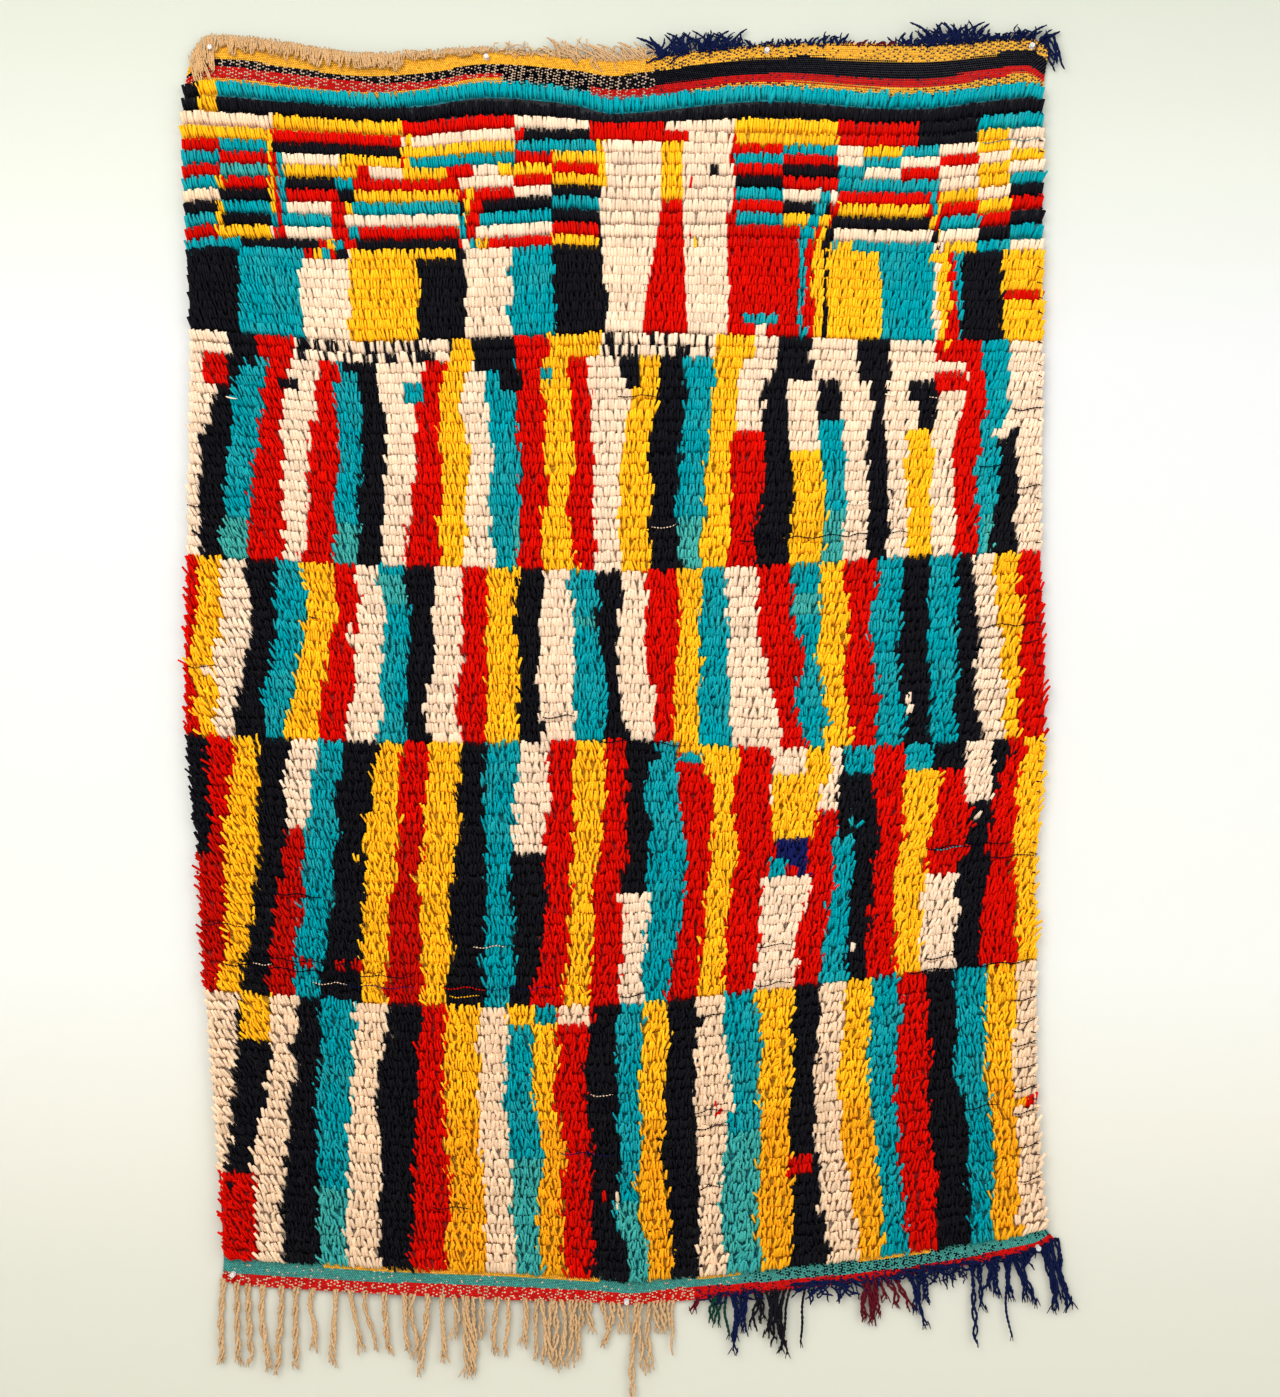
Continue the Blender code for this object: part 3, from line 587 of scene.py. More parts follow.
def sides_at(row):
    """Where the left and right selvedges lie at that row."""
    rows = [selvedge.row for selvedge in SELVEDGES]
    return (curve_through(rows, [selvedge.left for selvedge in SELVEDGES], row),
            curve_through(rows, [selvedge.right for selvedge in SELVEDGES], row))


def bow_at(across, row):
    """How far a flat-woven end stands off the wall between its pins."""
    if 0 <= row <= ROWS:
        return 0.0
    at_top = row < 0
    ends = [-CORNER_SPAN] + [pin.across for pin in PINS if (pin.row < 0) == at_top] + [1 + CORNER_SPAN]
    i = max(k for k in range(len(ends) - 1) if ends[k] <= across)
    swell = math.sin(math.pi * (across - ends[i]) / (ends[i + 1] - ends[i])) ** 2
    reach = -row / END_ROWS if at_top else (row - ROWS) / END_ROWS
    return (TOP_BOW if at_top else BOTTOM_BOW) * swell * min(1.0, reach)


def front_at(across, row):
    """The point on the front of the cloth at that place."""
    left, right = sides_at(row)
    return Vector((left + (right - left) * across, -CLOTH_THICKNESS - bow_at(across, row),
                   height_at(across, row)))


Line = namedtuple("Line", "foot depth runs")


def covered(spot, row, depth):
    """Whether a patch covers the line of knots that starts at that row. A thin one takes only one line."""
    if spot.last - spot.first < 1 and row <= spot.first + 0.2 < row + depth:
        return True
    return spot.first <= row + depth / 2 < spot.last


def charted_lines():
    """The dye chart, one Line for each line of knots: its foot on the map, its depth and its runs of dye.

    A run is a left side, a right side and a dye letter."""
    chance = random.Random(5)
    lines = []
    sway = {}
    for band, line in [(band, line) for band in BANDS for line in range(band.knots)]:
        depth = (band.last - band.first) / band.knots
        row = band.first + line * depth
        middle = row + depth / 2
        left, right = (side * 1000 for side in sides_at(middle))
        edges, letters = [], []
        for number, (dyes, places, turns) in enumerate(band.stripes):
            key = (band.last, number)
            sway[key] = 0.6 * sway.get(key, 0.0) + chance.gauss(0, EDGE_SWAY)
            edge = between(band.marks, places[:len(band.marks)], middle) + sway[key]
            edges.append(edge + chance.gauss(0, EDGE_RAGGEDNESS))
            letters.append(dyes[1] if turns is not None and middle >= turns else dyes[0])
        layers = [(FAR_LEFT, edges[0], letters[0])]
        for number in range(1, len(edges)):
            layers.append((edges[number - 1], edges[number], letters[number]))
        for column in SMALL_BLOCKS:
            place = int(middle) - column.first
            if 0 <= place < len(column.dyes):
                layers.append((column.left, column.right, column.dyes[place]))
        for spot in PATCHES:
            if covered(spot, row, depth):
                share = (middle - spot.first) / max(spot.last - spot.first, 1)
                layers.append((spot.left + (spot.left_end - spot.left) * share,
                               spot.right + (spot.right_end - spot.right) * share, spot.dye))
        inner = {side for layer in layers for side in layer[:2] if left < side < right}
        marks = sorted({left, right} | inner)
        runs = []
        for start, end in zip(marks, marks[1:]):
            centre = (start + end) / 2
            letter = next(layer[2] for layer in reversed(layers) if layer[0] <= centre < layer[1])
            if runs and runs[-1][2] == letter:
                runs[-1][1] = end
            else:
                runs.append([start, end, letter])
        lines.append(Line(row + depth, depth, runs))
    return lines


CHART = charted_lines()


def letter_at(x, row):
    """The dye letter charted at x, in metres, in that row of the map."""
    runs = next((line.runs for line in CHART if row < line.foot), CHART[-1].runs)
    return next((run[2] for run in runs if x * 1000 < run[1]), runs[-1][2])


def fading_at(letter, x, row):
    """How faded the wool is there, from 0 to 1."""
    for zone in FADED:
        if zone.letter == letter and zone.left <= x * 1000 <= zone.right and zone.first <= row < zone.last:
            return 1.0
    return 0.0


def lay_at(x, row):
    """The way the pile lies at that place, in radians from straight up."""
    readings = [between(LAY_STATIONS, lay.degrees, x) for lay in LAYS]
    return math.radians(between([lay.row for lay in LAYS], readings, row))


def add_node(tree, kind, **settings):
    """Adds a node to a tree and sets its fields."""
    node = tree.nodes.new(kind)
    for name, value in settings.items():
        setattr(node, name, value)
    return node


def feed(tree, socket, value):
    """Feeds a socket from another socket, or sets it to a plain value."""
    if isinstance(value, bpy.types.NodeSocket):
        tree.links.new(value, socket)
    else:
        socket.default_value = value


def maths(tree, operation, *values):
    """The result of a math node on its values."""
    node = add_node(tree, "ShaderNodeMath", operation=operation)
    for socket, value in zip(node.inputs, values):
        feed(tree, socket, value)
    return node.outputs[0]


def plus(tree, first, second):
    """The sum of two values."""
    return maths(tree, "ADD", first, second)


def minus(tree, first, second):
    """The first value less the second."""
    return maths(tree, "SUBTRACT", first, second)


def times(tree, first, second):
    """The product of two values."""
    return maths(tree, "MULTIPLY", first, second)


def blended(tree, amount, low, high, mode="MIX"):
    """A colour between two, in a shader tree."""
    node = add_node(tree, "ShaderNodeMix", data_type="RGBA", blend_type=mode)
    feed(tree, node.inputs["Factor"], amount)
    feed(tree, node.inputs[6], low)
    feed(tree, node.inputs[7], high)
    return node.outputs[2]


def shaded(tree, colour, level):
    """A colour made lighter or darker by a level, in a shader tree."""
    grey = add_node(tree, "ShaderNodeCombineColor")
    for socket in grey.inputs[:3]:
        feed(tree, socket, level)
    return blended(tree, 1.0, colour, grey.outputs[0], "MULTIPLY")


def noise(tree, scale, detail=2.0):
    """A noise from 0 to 1 over the piece, in a shader tree."""
    node = add_node(tree, "ShaderNodeTexNoise")
    feed(tree, node.inputs["Vector"], add_node(tree, "ShaderNodeTexCoord").outputs["Object"])
    feed(tree, node.inputs["Scale"], scale)
    node.inputs["Detail"].default_value = detail
    return node.outputs["Fac"]


def bumped(tree, shader, height, strength, distance):
    """Raises a shader's surface by a height."""
    bump = add_node(tree, "ShaderNodeBump")
    bump.inputs["Strength"].default_value = strength
    bump.inputs["Distance"].default_value = distance
    feed(tree, bump.inputs["Height"], height)
    feed(tree, shader.inputs["Normal"], bump.outputs["Normal"])


def new_material(name):
    """A material, with its tree and its main shader."""
    material = bpy.data.materials.new(name)
    material.use_nodes = True
    return material, material.node_tree, material.node_tree.nodes["Principled BSDF"]


def linked(name, data):
    """An object with that data, in the scene."""
    piece = bpy.data.objects.new(name, data)
    bpy.context.scene.collection.objects.link(piece)
    return piece


def new_group(name, kind, inputs, outputs):
    """A node group with its named inputs (name, socket kind, default, least, most) and outputs."""
    tree = bpy.data.node_groups.new(name, kind)
    for title, socket_kind, value, least, most in inputs:
        socket = tree.interface.new_socket(title, in_out="INPUT", socket_type=socket_kind)
        if value is not None:
            socket.default_value = value
        if least is not None:
            socket.min_value, socket.max_value = least, most
    for title, socket_kind in outputs:
        tree.interface.new_socket(title, in_out="OUTPUT", socket_type=socket_kind)
    entry, leave = add_node(tree, "NodeGroupInput"), add_node(tree, "NodeGroupOutput")
    return tree, entry.outputs, leave.inputs


def section_of(tree, sides, width):
    """The round section of a strand or yarn, so wide, in a Geometry Nodes tree."""
    section = add_node(tree, "GeometryNodeCurvePrimitiveCircle")
    feed(tree, section.inputs["Resolution"], sides)
    feed(tree, section.inputs["Radius"], times(tree, width, 0.5))
    return section.outputs[0]


def spun_tube(tree, curve, share, section, thickness):
    """A closed tube along a curve, as thick as it says and the curve's own girth, marked with its share."""
    marked = add_node(tree, "GeometryNodeStoreNamedAttribute", data_type="FLOAT", domain="POINT")
    feed(tree, marked.inputs["Geometry"], curve)
    marked.inputs["Name"].default_value = "share"
    feed(tree, marked.inputs["Value"], share)
    tube = add_node(tree, "GeometryNodeCurveToMesh")
    feed(tree, tube.inputs["Curve"], marked.outputs[0])
    feed(tree, tube.inputs["Profile Curve"], section)
    feed(tree, tube.inputs["Scale"], times(tree, thickness, attribute(tree, "girth")))
    tube.inputs["Fill Caps"].default_value = True
    return tube.outputs[0]


def attribute(tree, name):
    """A number kept on the geometry, read in a Geometry Nodes tree."""
    node = add_node(tree, "GeometryNodeInputNamedAttribute", data_type="FLOAT")
    node.inputs["Name"].default_value = name
    return node.outputs["Attribute"]


def laid_pile_tree():
    """Strands of pile, rooted on the points and laid over the way each point says."""
    tree, given, made = new_group("Laid Pile", "GeometryNodeTree", (
        ("Roots", "NodeSocketGeometry", None, None, None),
        ("Strand Length", "NodeSocketFloat", 0.03, 0.0, 0.2),
        ("Stand Out", "NodeSocketFloat", 0.014, 0.0, 0.1),
        ("Strand Width", "NodeSocketFloat", 0.005, 0.0, 0.05),
        ("Sides", "NodeSocketInt", 3, 3, 12),
        ("Steps", "NodeSocketInt", 3, 1, 20),
        ("Wool", "NodeSocketMaterial", None, None, None),
    ), (("Pile", "NodeSocketGeometry"),))
    line = add_node(tree, "GeometryNodeCurvePrimitiveLine")
    line.inputs["End"].default_value = (0, 0, 1)
    steps = add_node(tree, "GeometryNodeResampleCurve")
    feed(tree, steps.inputs["Curve"], line.outputs[0])
    feed(tree, steps.inputs["Count"], plus(tree, given["Steps"], 1))
    rooted = add_node(tree, "GeometryNodeInstanceOnPoints")
    feed(tree, rooted.inputs["Points"], given["Roots"])
    feed(tree, rooted.inputs["Instance"], steps.outputs[0])
    loose = add_node(tree, "GeometryNodeRealizeInstances")
    feed(tree, loose.inputs[0], rooted.outputs[0])

    share = add_node(tree, "GeometryNodeSplineParameter").outputs["Factor"]
    bend = times(tree, attribute(tree, "bend"), share)
    angle = plus(tree, attribute(tree, "lay"), bend)
    squared = times(tree, share, share)
    rise = plus(tree, times(tree, share, 0.35), times(tree, squared, 0.65))
    length = times(tree, given["Strand Length"], attribute(tree, "reach"))
    along = times(tree, length, rise)
    swell = minus(tree, times(tree, share, 1.9), times(tree, squared, 0.9))
    tip_out = times(tree, given["Stand Out"], attribute(tree, "lift"))
    out = times(tree, tip_out, swell)
    shift = add_node(tree, "ShaderNodeCombineXYZ")
    feed(tree, shift.inputs[0], times(tree, along, maths(tree, "SINE", angle)))
    feed(tree, shift.inputs[1], times(tree, out, -1.0))
    up = times(tree, along, maths(tree, "COSINE", angle))
    feed(tree, shift.inputs[2], minus(tree, up, share))
    laid = add_node(tree, "GeometryNodeSetPosition")
    feed(tree, laid.inputs["Geometry"], loose.outputs[0])
    feed(tree, laid.inputs["Offset"], shift.outputs[0])

    swelling = maths(tree, "SINE", times(tree, share, math.pi))
    belly = plus(tree, 0.84, times(tree, 0.22, swelling))
    thickness = plus(tree, belly, times(tree, squared, 0.04))
    section = section_of(tree, given["Sides"], given["Strand Width"])
    tube = spun_tube(tree, laid.outputs[0], share, section, thickness)
    finish_tree(tree, tube, given["Wool"], made["Pile"])
    return tree


def twisted_yarn_tree():
    """Yarn of two twisted plies, along each run of edges."""
    tree, given, made = new_group("Twisted Yarn", "GeometryNodeTree", (
        ("Runs", "NodeSocketGeometry", None, None, None),
        ("Yarn Width", "NodeSocketFloat", 0.005, 0.0, 0.05),
        ("Flatness", "NodeSocketFloat", 0.58, 0.1, 1.0),
        ("Turn Length", "NodeSocketFloat", 0.014, 0.001, 1.0),
        ("Step", "NodeSocketFloat", 0.0035, 0.0005, 0.1),
        ("Sides", "NodeSocketInt", 6, 3, 12),
        ("Wool", "NodeSocketMaterial", None, None, None),
    ), (("Yarn", "NodeSocketGeometry"),))
    curve = add_node(tree, "GeometryNodeMeshToCurve")
    feed(tree, curve.inputs["Mesh"], given["Runs"])
    steps = add_node(tree, "GeometryNodeResampleCurve", mode="LENGTH")
    feed(tree, steps.inputs["Curve"], curve.outputs[0])
    feed(tree, steps.inputs["Length"], given["Step"])
    place = add_node(tree, "GeometryNodeSplineParameter")
    turned = add_node(tree, "GeometryNodeSetCurveTilt")
    feed(tree, turned.inputs["Curve"], steps.outputs[0])
    turns = maths(tree, "DIVIDE", place.outputs["Length"], given["Turn Length"])
    feed(tree, turned.inputs["Tilt"], times(tree, turns, 2 * math.pi))
    flat = add_node(tree, "ShaderNodeCombineXYZ")
    flat.inputs[0].default_value = 1.0
    feed(tree, flat.inputs[1], given["Flatness"])
    flat.inputs[2].default_value = 1.0
    pressed = add_node(tree, "GeometryNodeTransform")
    feed(tree, pressed.inputs["Geometry"], section_of(tree, given["Sides"], given["Yarn Width"]))
    feed(tree, pressed.inputs["Scale"], flat.outputs[0])
    thinning = maths(tree, "POWER", place.outputs["Factor"], 9.0)
    thickness = minus(tree, 1.0, times(tree, 0.5, thinning))
    tube = spun_tube(tree, turned.outputs[0], place.outputs["Factor"], pressed.outputs[0], thickness)
    finish_tree(tree, tube, given["Wool"], made["Yarn"])
    return tree


def weft_stitch_tree():
    """One low bead of yarn at each point, for the flat-woven ends."""
    tree, given, made = new_group("Weft Stitches", "GeometryNodeTree", (
        ("Places", "NodeSocketGeometry", None, None, None),
        ("Stitch Width", "NodeSocketFloat", 0.005, 0.0, 0.05),
        ("Stitch Height", "NodeSocketFloat", 0.003, 0.0, 0.05),
        ("Stitch Depth", "NodeSocketFloat", 0.003, 0.0, 0.05),
        ("Wool", "NodeSocketMaterial", None, None, None),
    ), (("Stitches", "NodeSocketGeometry"),))
    bead = add_node(tree, "GeometryNodeMeshUVSphere")
    bead.inputs["Segments"].default_value = 4
    bead.inputs["Rings"].default_value = 2
    bead.inputs["Radius"].default_value = 0.5
    size = add_node(tree, "ShaderNodeCombineXYZ")
    girth = attribute(tree, "girth")
    feed(tree, size.inputs[0], times(tree, given["Stitch Width"], girth))
    feed(tree, size.inputs[1], given["Stitch Depth"])
    feed(tree, size.inputs[2], times(tree, given["Stitch Height"], girth))
    turn = add_node(tree, "ShaderNodeCombineXYZ")
    feed(tree, turn.inputs[1], attribute(tree, "lay"))
    placed = add_node(tree, "GeometryNodeInstanceOnPoints")
    feed(tree, placed.inputs["Points"], given["Places"])
    feed(tree, placed.inputs["Instance"], bead.outputs["Mesh"])
    feed(tree, placed.inputs["Rotation"], turn.outputs[0])
    feed(tree, placed.inputs["Scale"], size.outputs[0])
    finish_tree(tree, placed.outputs[0], given["Wool"], made["Stitches"])
    return tree


def finish_tree(tree, geometry, wool, out):
    """Ends a tree: real mesh, smooth shading, and its material."""
    real = add_node(tree, "GeometryNodeRealizeInstances")
    feed(tree, real.inputs[0], geometry)
    smooth = add_node(tree, "GeometryNodeSetShadeSmooth")
    feed(tree, smooth.inputs["Geometry"], real.outputs[0])
    painted = add_node(tree, "GeometryNodeSetMaterial")
    feed(tree, painted.inputs["Geometry"], smooth.outputs[0])
    feed(tree, painted.inputs["Material"], wool)
    feed(tree, out, painted.outputs[0])


def grown(name, tree_maker, points, edges, numbers, colours, settings):
    """A plain mesh that a Geometry Nodes tree grows from points or runs of edges.

    numbers and colours are lists by attribute name, and settings are the tree's inputs by name."""
    seeds = bpy.data.meshes.new(name + " seeds")
    seeds.from_pydata([tuple(point) for point in points], edges, [])
    for title, values in numbers.items():
        seeds.attributes.new(title, "FLOAT", "POINT").data.foreach_set("value", values)
    for title, values in colours.items():
        flat = [part for value in values for part in (*value, 1.0)]
        seeds.attributes.new(title, "FLOAT_COLOR", "POINT").data.foreach_set("color", flat)
    piece = linked(name, seeds)
    tree = bpy.data.node_groups.get(tree_maker["name"]) or tree_maker["make"]()
    modifier = piece.modifiers.new("Growth", "NODES")
    modifier.node_group = tree
    for item in tree.interface.items_tree:
        if item.item_type == "SOCKET" and item.in_out == "INPUT" and item.name in settings:
            modifier[item.identifier] = settings[item.name]
    bpy.context.view_layer.update()
    shape = piece.evaluated_get(bpy.context.evaluated_depsgraph_get())
    mesh = bpy.data.meshes.new_from_object(shape)
    if not mesh.polygons:
        raise RuntimeError(name + " came out empty")
    piece.modifiers.clear()
    piece.data = mesh
    mesh.name = name
    bpy.data.meshes.remove(seeds)
    for title in ("lay", "bend", "reach", "lift", "girth", "curve_tilt", "tilt", "radius"):
        if title in mesh.attributes:
            mesh.attributes.remove(mesh.attributes[title])
    return piece


LAID_PILE = {"name": "Laid Pile", "make": laid_pile_tree}
TWISTED_YARN = {"name": "Twisted Yarn", "make": twisted_yarn_tree}
WEFT_STITCHES = {"name": "Weft Stitches", "make": weft_stitch_tree}


def wool_tone_group():
    """Shades a dye as handspun wool: uneven dyeing, fading, and painted shade that darkens each strand
    towards its root.
    """
    tree, given, made = new_group("Handspun Wool Tone", "ShaderNodeTree", (
        ("Dye", "NodeSocketColor", (0.5, 0.5, 0.5, 1), None, None),
        ("Faded Dye", "NodeSocketColor", (0.5, 0.5, 0.5, 1), None, None),
        ("Fading", "NodeSocketFloat", 0.0, 0.0, 1.0),
        ("Tone", "NodeSocketFloat", 0.0, -1.0, 1.0),
        ("Share", "NodeSocketFloat", 1.0, 0.0, 1.0),
        ("Unevenness", "NodeSocketFloat", 0.25, 0.0, 1.0),
        ("Root Shade", "NodeSocketFloat", 0.45, 0.0, 1.0),
    ), (("Colour", "NodeSocketColor"), ("Roughness", "NodeSocketFloat")))
    streak = noise(tree, 420.0)
    patchy = times(tree, minus(tree, noise(tree, 22.0, 3.0), 0.42), 0.9)
    amount = plus(tree, times(tree, given["Fading"], 0.8), patchy)
    clamped = add_node(tree, "ShaderNodeMath", operation="ADD", use_clamp=True)
    feed(tree, clamped.inputs[0], amount)
    clamped.inputs[1].default_value = 0.0
    base = blended(tree, clamped.outputs[0], given["Dye"], given["Faded Dye"])
    level = plus(tree, times(tree, given["Tone"], given["Unevenness"]), 1.0)
    # Painted shade: the colour is darkened towards the root of each strand, by the root shade.
    fibre = plus(tree, times(tree, streak, 0.5), 0.75)
    to_root = minus(tree, 1.0, given["Share"])
    root = minus(tree, 1.0, times(tree, given["Root Shade"], to_root))
    feed(tree, made["Colour"], shaded(tree, base, times(tree, times(tree, level, fibre), root)))
    feed(tree, made["Roughness"], plus(tree, times(tree, streak, 0.2), 0.72))
    return tree


def wool_fibre_group():
    """The height of spun fibres: fine streaks with a few coarse lumps."""
    tree, given, made = new_group("Wool Fibre Height", "ShaderNodeTree", (
        ("Fibre Scale", "NodeSocketFloat", 900.0, 1.0, 5000.0),
        ("Lump Scale", "NodeSocketFloat", 150.0, 1.0, 2000.0),
    ), (("Height", "NodeSocketFloat"),))
    fine = times(tree, noise(tree, given["Fibre Scale"]), 0.6)
    feed(tree, made["Height"], plus(tree, fine, noise(tree, given["Lump Scale"])))
    return tree


def group_node(tree, name, maker):
    """A node that uses a shader group, made once."""
    node = add_node(tree, "ShaderNodeGroup")
    node.node_tree = bpy.data.node_groups.get(name) or maker()
    return node


def read_number(tree, name):
    """A number kept on the mesh, read in a material."""
    return add_node(tree, "ShaderNodeAttribute", attribute_name=name).outputs["Fac"]


def wool_material(name, dye=None, unevenness=0.16, painted_root_shade=0.05):
    """Wool in one dye, or in the dye kept on each part of the mesh where none is given."""
    material = bpy.data.materials.get(name)
    if material:
        return material
    material, tree, shader = new_material(name)
    tone = group_node(tree, "Handspun Wool Tone", wool_tone_group)
    if dye:
        colours = bpy.context.scene.azilal_dyes
        colour = getattr(colours, dye)
        tone.inputs["Dye"].default_value = (*colour, 1)
        tone.inputs["Faded Dye"].default_value = (*DYES[dye][1], 1)
        material.diffuse_color = (*colour, 1)
    else:
        painted = add_node(tree, "ShaderNodeAttribute", attribute_name="dye").outputs["Color"]
        feed(tree, tone.inputs["Dye"], painted)
        feed(tree, tone.inputs["Faded Dye"], painted)
    feed(tree, tone.inputs["Fading"], read_number(tree, "fading"))
    feed(tree, tone.inputs["Tone"], read_number(tree, "tone"))
    feed(tree, tone.inputs["Share"], read_number(tree, "share"))
    tone.inputs["Unevenness"].default_value = unevenness
    # Painted shade: how much darker the strands are painted towards their roots.
    tone.inputs["Root Shade"].default_value = painted_root_shade
    feed(tree, shader.inputs["Base Color"], tone.outputs["Colour"])
    feed(tree, shader.inputs["Roughness"], tone.outputs["Roughness"])
    fibre = group_node(tree, "Wool Fibre Height", wool_fibre_group)
    bumped(tree, shader, fibre.outputs["Height"], 0.55, 0.0012)
    shader.inputs["Specular IOR Level"].default_value = 0.02
    return material


class AzilalDyes(bpy.types.PropertyGroup):
    """The colours of the wool."""

    natural: bpy.props.FloatVectorProperty(
        name="Natural", description="Colour of the undyed wool", subtype="COLOR",
        default=DYES["natural"][0], min=0, max=1)
    yellow: bpy.props.FloatVectorProperty(
        name="Yellow", description="Colour of the yellow wool", subtype="COLOR",
        default=DYES["yellow"][0], min=0, max=1)
    red: bpy.props.FloatVectorProperty(
        name="Red", description="Colour of the red wool", subtype="COLOR",
        default=DYES["red"][0], min=0, max=1)
    teal: bpy.props.FloatVectorProperty(
        name="Teal", description="Colour of the teal wool", subtype="COLOR",
        default=DYES["teal"][0], min=0, max=1)
    black: bpy.props.FloatVectorProperty(
        name="Black", description="Colour of the black wool", subtype="COLOR",
        default=DYES["black"][0], min=0, max=1)
    navy: bpy.props.FloatVectorProperty(
        name="Navy", description="Colour of the navy wool", subtype="COLOR",
        default=DYES["navy"][0], min=0, max=1)


class AzilalSizes(bpy.types.PropertyGroup):
    """The sizes of the rug's pile and of the weft stitches in its heading and hem, and the camera's
    distance.
    """

    strand_length: bpy.props.FloatProperty(
        name="Strand Length", description="Length of a strand of pile along the rug",
        default=0.0215, min=0.005, max=0.08, unit="LENGTH")
    stand_out: bpy.props.FloatProperty(
        name="Stand Out", description="How far the tips of the pile stand out from the cloth",
        default=0.0140, min=0.002, max=0.03, unit="LENGTH")
    natural_width: bpy.props.FloatProperty(
        name="Natural Strand Width", description="Width of a strand of natural wool",
        default=0.0068, min=0.001, max=0.02, unit="LENGTH")
    dyed_width: bpy.props.FloatProperty(
        name="Dyed Strand Width", description="Width of a strand of dyed wool",
        default=0.0054, min=0.001, max=0.02, unit="LENGTH")
    natural_pitch: bpy.props.FloatProperty(
        name="Natural Strand Spacing", description="Distance between strands of natural wool in a row",
        default=0.0051, min=0.002, max=0.02, unit="LENGTH")
    dyed_pitch: bpy.props.FloatProperty(
        name="Dyed Strand Spacing", description="Distance between strands of dyed wool in a row",
        default=0.0035, min=0.002, max=0.02, unit="LENGTH")
    stitch_width: bpy.props.FloatProperty(
        name="Stitch Width", description="Width of a weft stitch in the heading and the hem",
        default=0.0036, min=0.001, max=0.02, unit="LENGTH")
    camera_distance: bpy.props.FloatProperty(
        name="Camera Distance", description="Distance from the camera to the rug",
        default=3.6, min=1.0, max=20.0, unit="LENGTH")


def finished(piece):
    """Marks a finished piece: it rides with the rug."""
    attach(piece, "root")
    return piece


class RUG_OT_stage(bpy.types.Operator):
    """Makes the wall, the floor, the lights and the camera."""

    bl_idname = "rug.stage"
    bl_label = "Stage"

    def execute(self, context):
        sizes = context.scene.azilal_sizes
        side, back, low, high = ROOM_SIDE, WALL_PLACE, FLOOR_HEIGHT, WALL_TOP
        front, rear = FLOOR_ENDS
        wall = [(-side, back, low), (side, back, low), (side, back, high), (-side, back, high)]
        floor = [(-side, front, low), (side, front, low), (side, rear, low), (-side, rear, low)]
        add_backdrop("wall", wall, WALL_COLOUR, WALL_SHADES)
        add_backdrop("floor", floor, FLOOR_COLOUR)
        for lamp in LAMPS:
            add_lamp(lamp)
        world = bpy.data.worlds.new("room")
        world.use_nodes = True
        sky = world.node_tree.nodes["Background"].inputs
        sky["Color"].default_value = (*SKY_COLOUR, 1)
        sky["Strength"].default_value = SKY_STRENGTH
        context.scene.world = world
        context.scene.view_settings.view_transform = "Standard"
        lens = bpy.data.cameras.new("camera")
        lens.sensor_fit = "VERTICAL"
        lens.sensor_height = lens.sensor_width = 36.0
        lens.lens = lens.sensor_height * (sizes.camera_distance - VIEW_DEPTH) / VIEW_HEIGHT
        camera = linked("camera", lens)
        camera.location = (VIEW_CENTRE[0], -sizes.camera_distance, VIEW_CENTRE[1])
        camera.rotation_euler = (math.pi / 2, 0, 0)
        context.scene.camera = camera
        return {"FINISHED"}


# Painted light and shade on the wall: how light its colour is painted at some heights, from the lowest, as
# a share of its colour, standing in for the uneven light that falls on it.
Shade = namedtuple("Shade", "height red green blue")
WALL_SHADES = (
    Shade(-2.25, 0.93, 0.92, 0.85), Shade(-2.0, 0.96, 0.94, 0.89), Shade(-1.75, 1.06, 1.03, 1.0),
    Shade(-1.5, 1.10, 1.10, 1.14), Shade(-0.5, 1.02, 1.02, 1.12), Shade(-0.2, 0.93, 0.95, 0.93),
    Shade(0.1, 0.80, 0.82, 0.76),
)

# The room: how far it goes to each side, where its wall stands and how high it goes, and the floor's height
# and its front and rear ends.
ROOM_SIDE = 5
WALL_PLACE = 0.003
WALL_TOP = 2.6
WALL_COLOUR = (0.55, 0.555, 0.50)
FLOOR_HEIGHT = -2.55
FLOOR_ENDS = (-8, 3)
FLOOR_COLOUR = (0.72, 0.70, 0.66)
SKY_COLOUR = (0.95, 0.96, 1.0)
SKY_STRENGTH = 0.93

Lamp = namedtuple("Lamp", "name place aim size power colour")
LAMPS = (
    Lamp("key light", (-1.3, -3.3, 0.7), (0.0, 0.0, -1.1), 2.6, 124, (1.0, 0.98, 0.95)),
    Lamp("fill light", (2.6, -3.2, -0.2), (0.0, 0.0, -1.3), 2.8, 62, (0.98, 0.99, 1.0)),
    Lamp("back light", (0.6, 3.4, 1.2), (0.0, 0.0, -1.0), 2.6, 90, (1.0, 1.0, 1.0)),
)

# What the view takes in: its height, at the middle of the pile's depth, and its centre across and up.
VIEW_HEIGHT = 2.273
VIEW_DEPTH = 0.012
VIEW_CENTRE = (0.0358, -1.0567)


def add_lamp(lamp):
    """A soft square lamp that faces its aim."""
    light = bpy.data.lights.new(lamp.name, "AREA")
    light.size, light.energy, light.color = lamp.size, lamp.power, lamp.colour
    piece = linked(lamp.name, light)
    piece.location = lamp.place
    piece.rotation_euler = (Vector(lamp.aim) - Vector(lamp.place)).to_track_quat("-Z", "Y").to_euler()


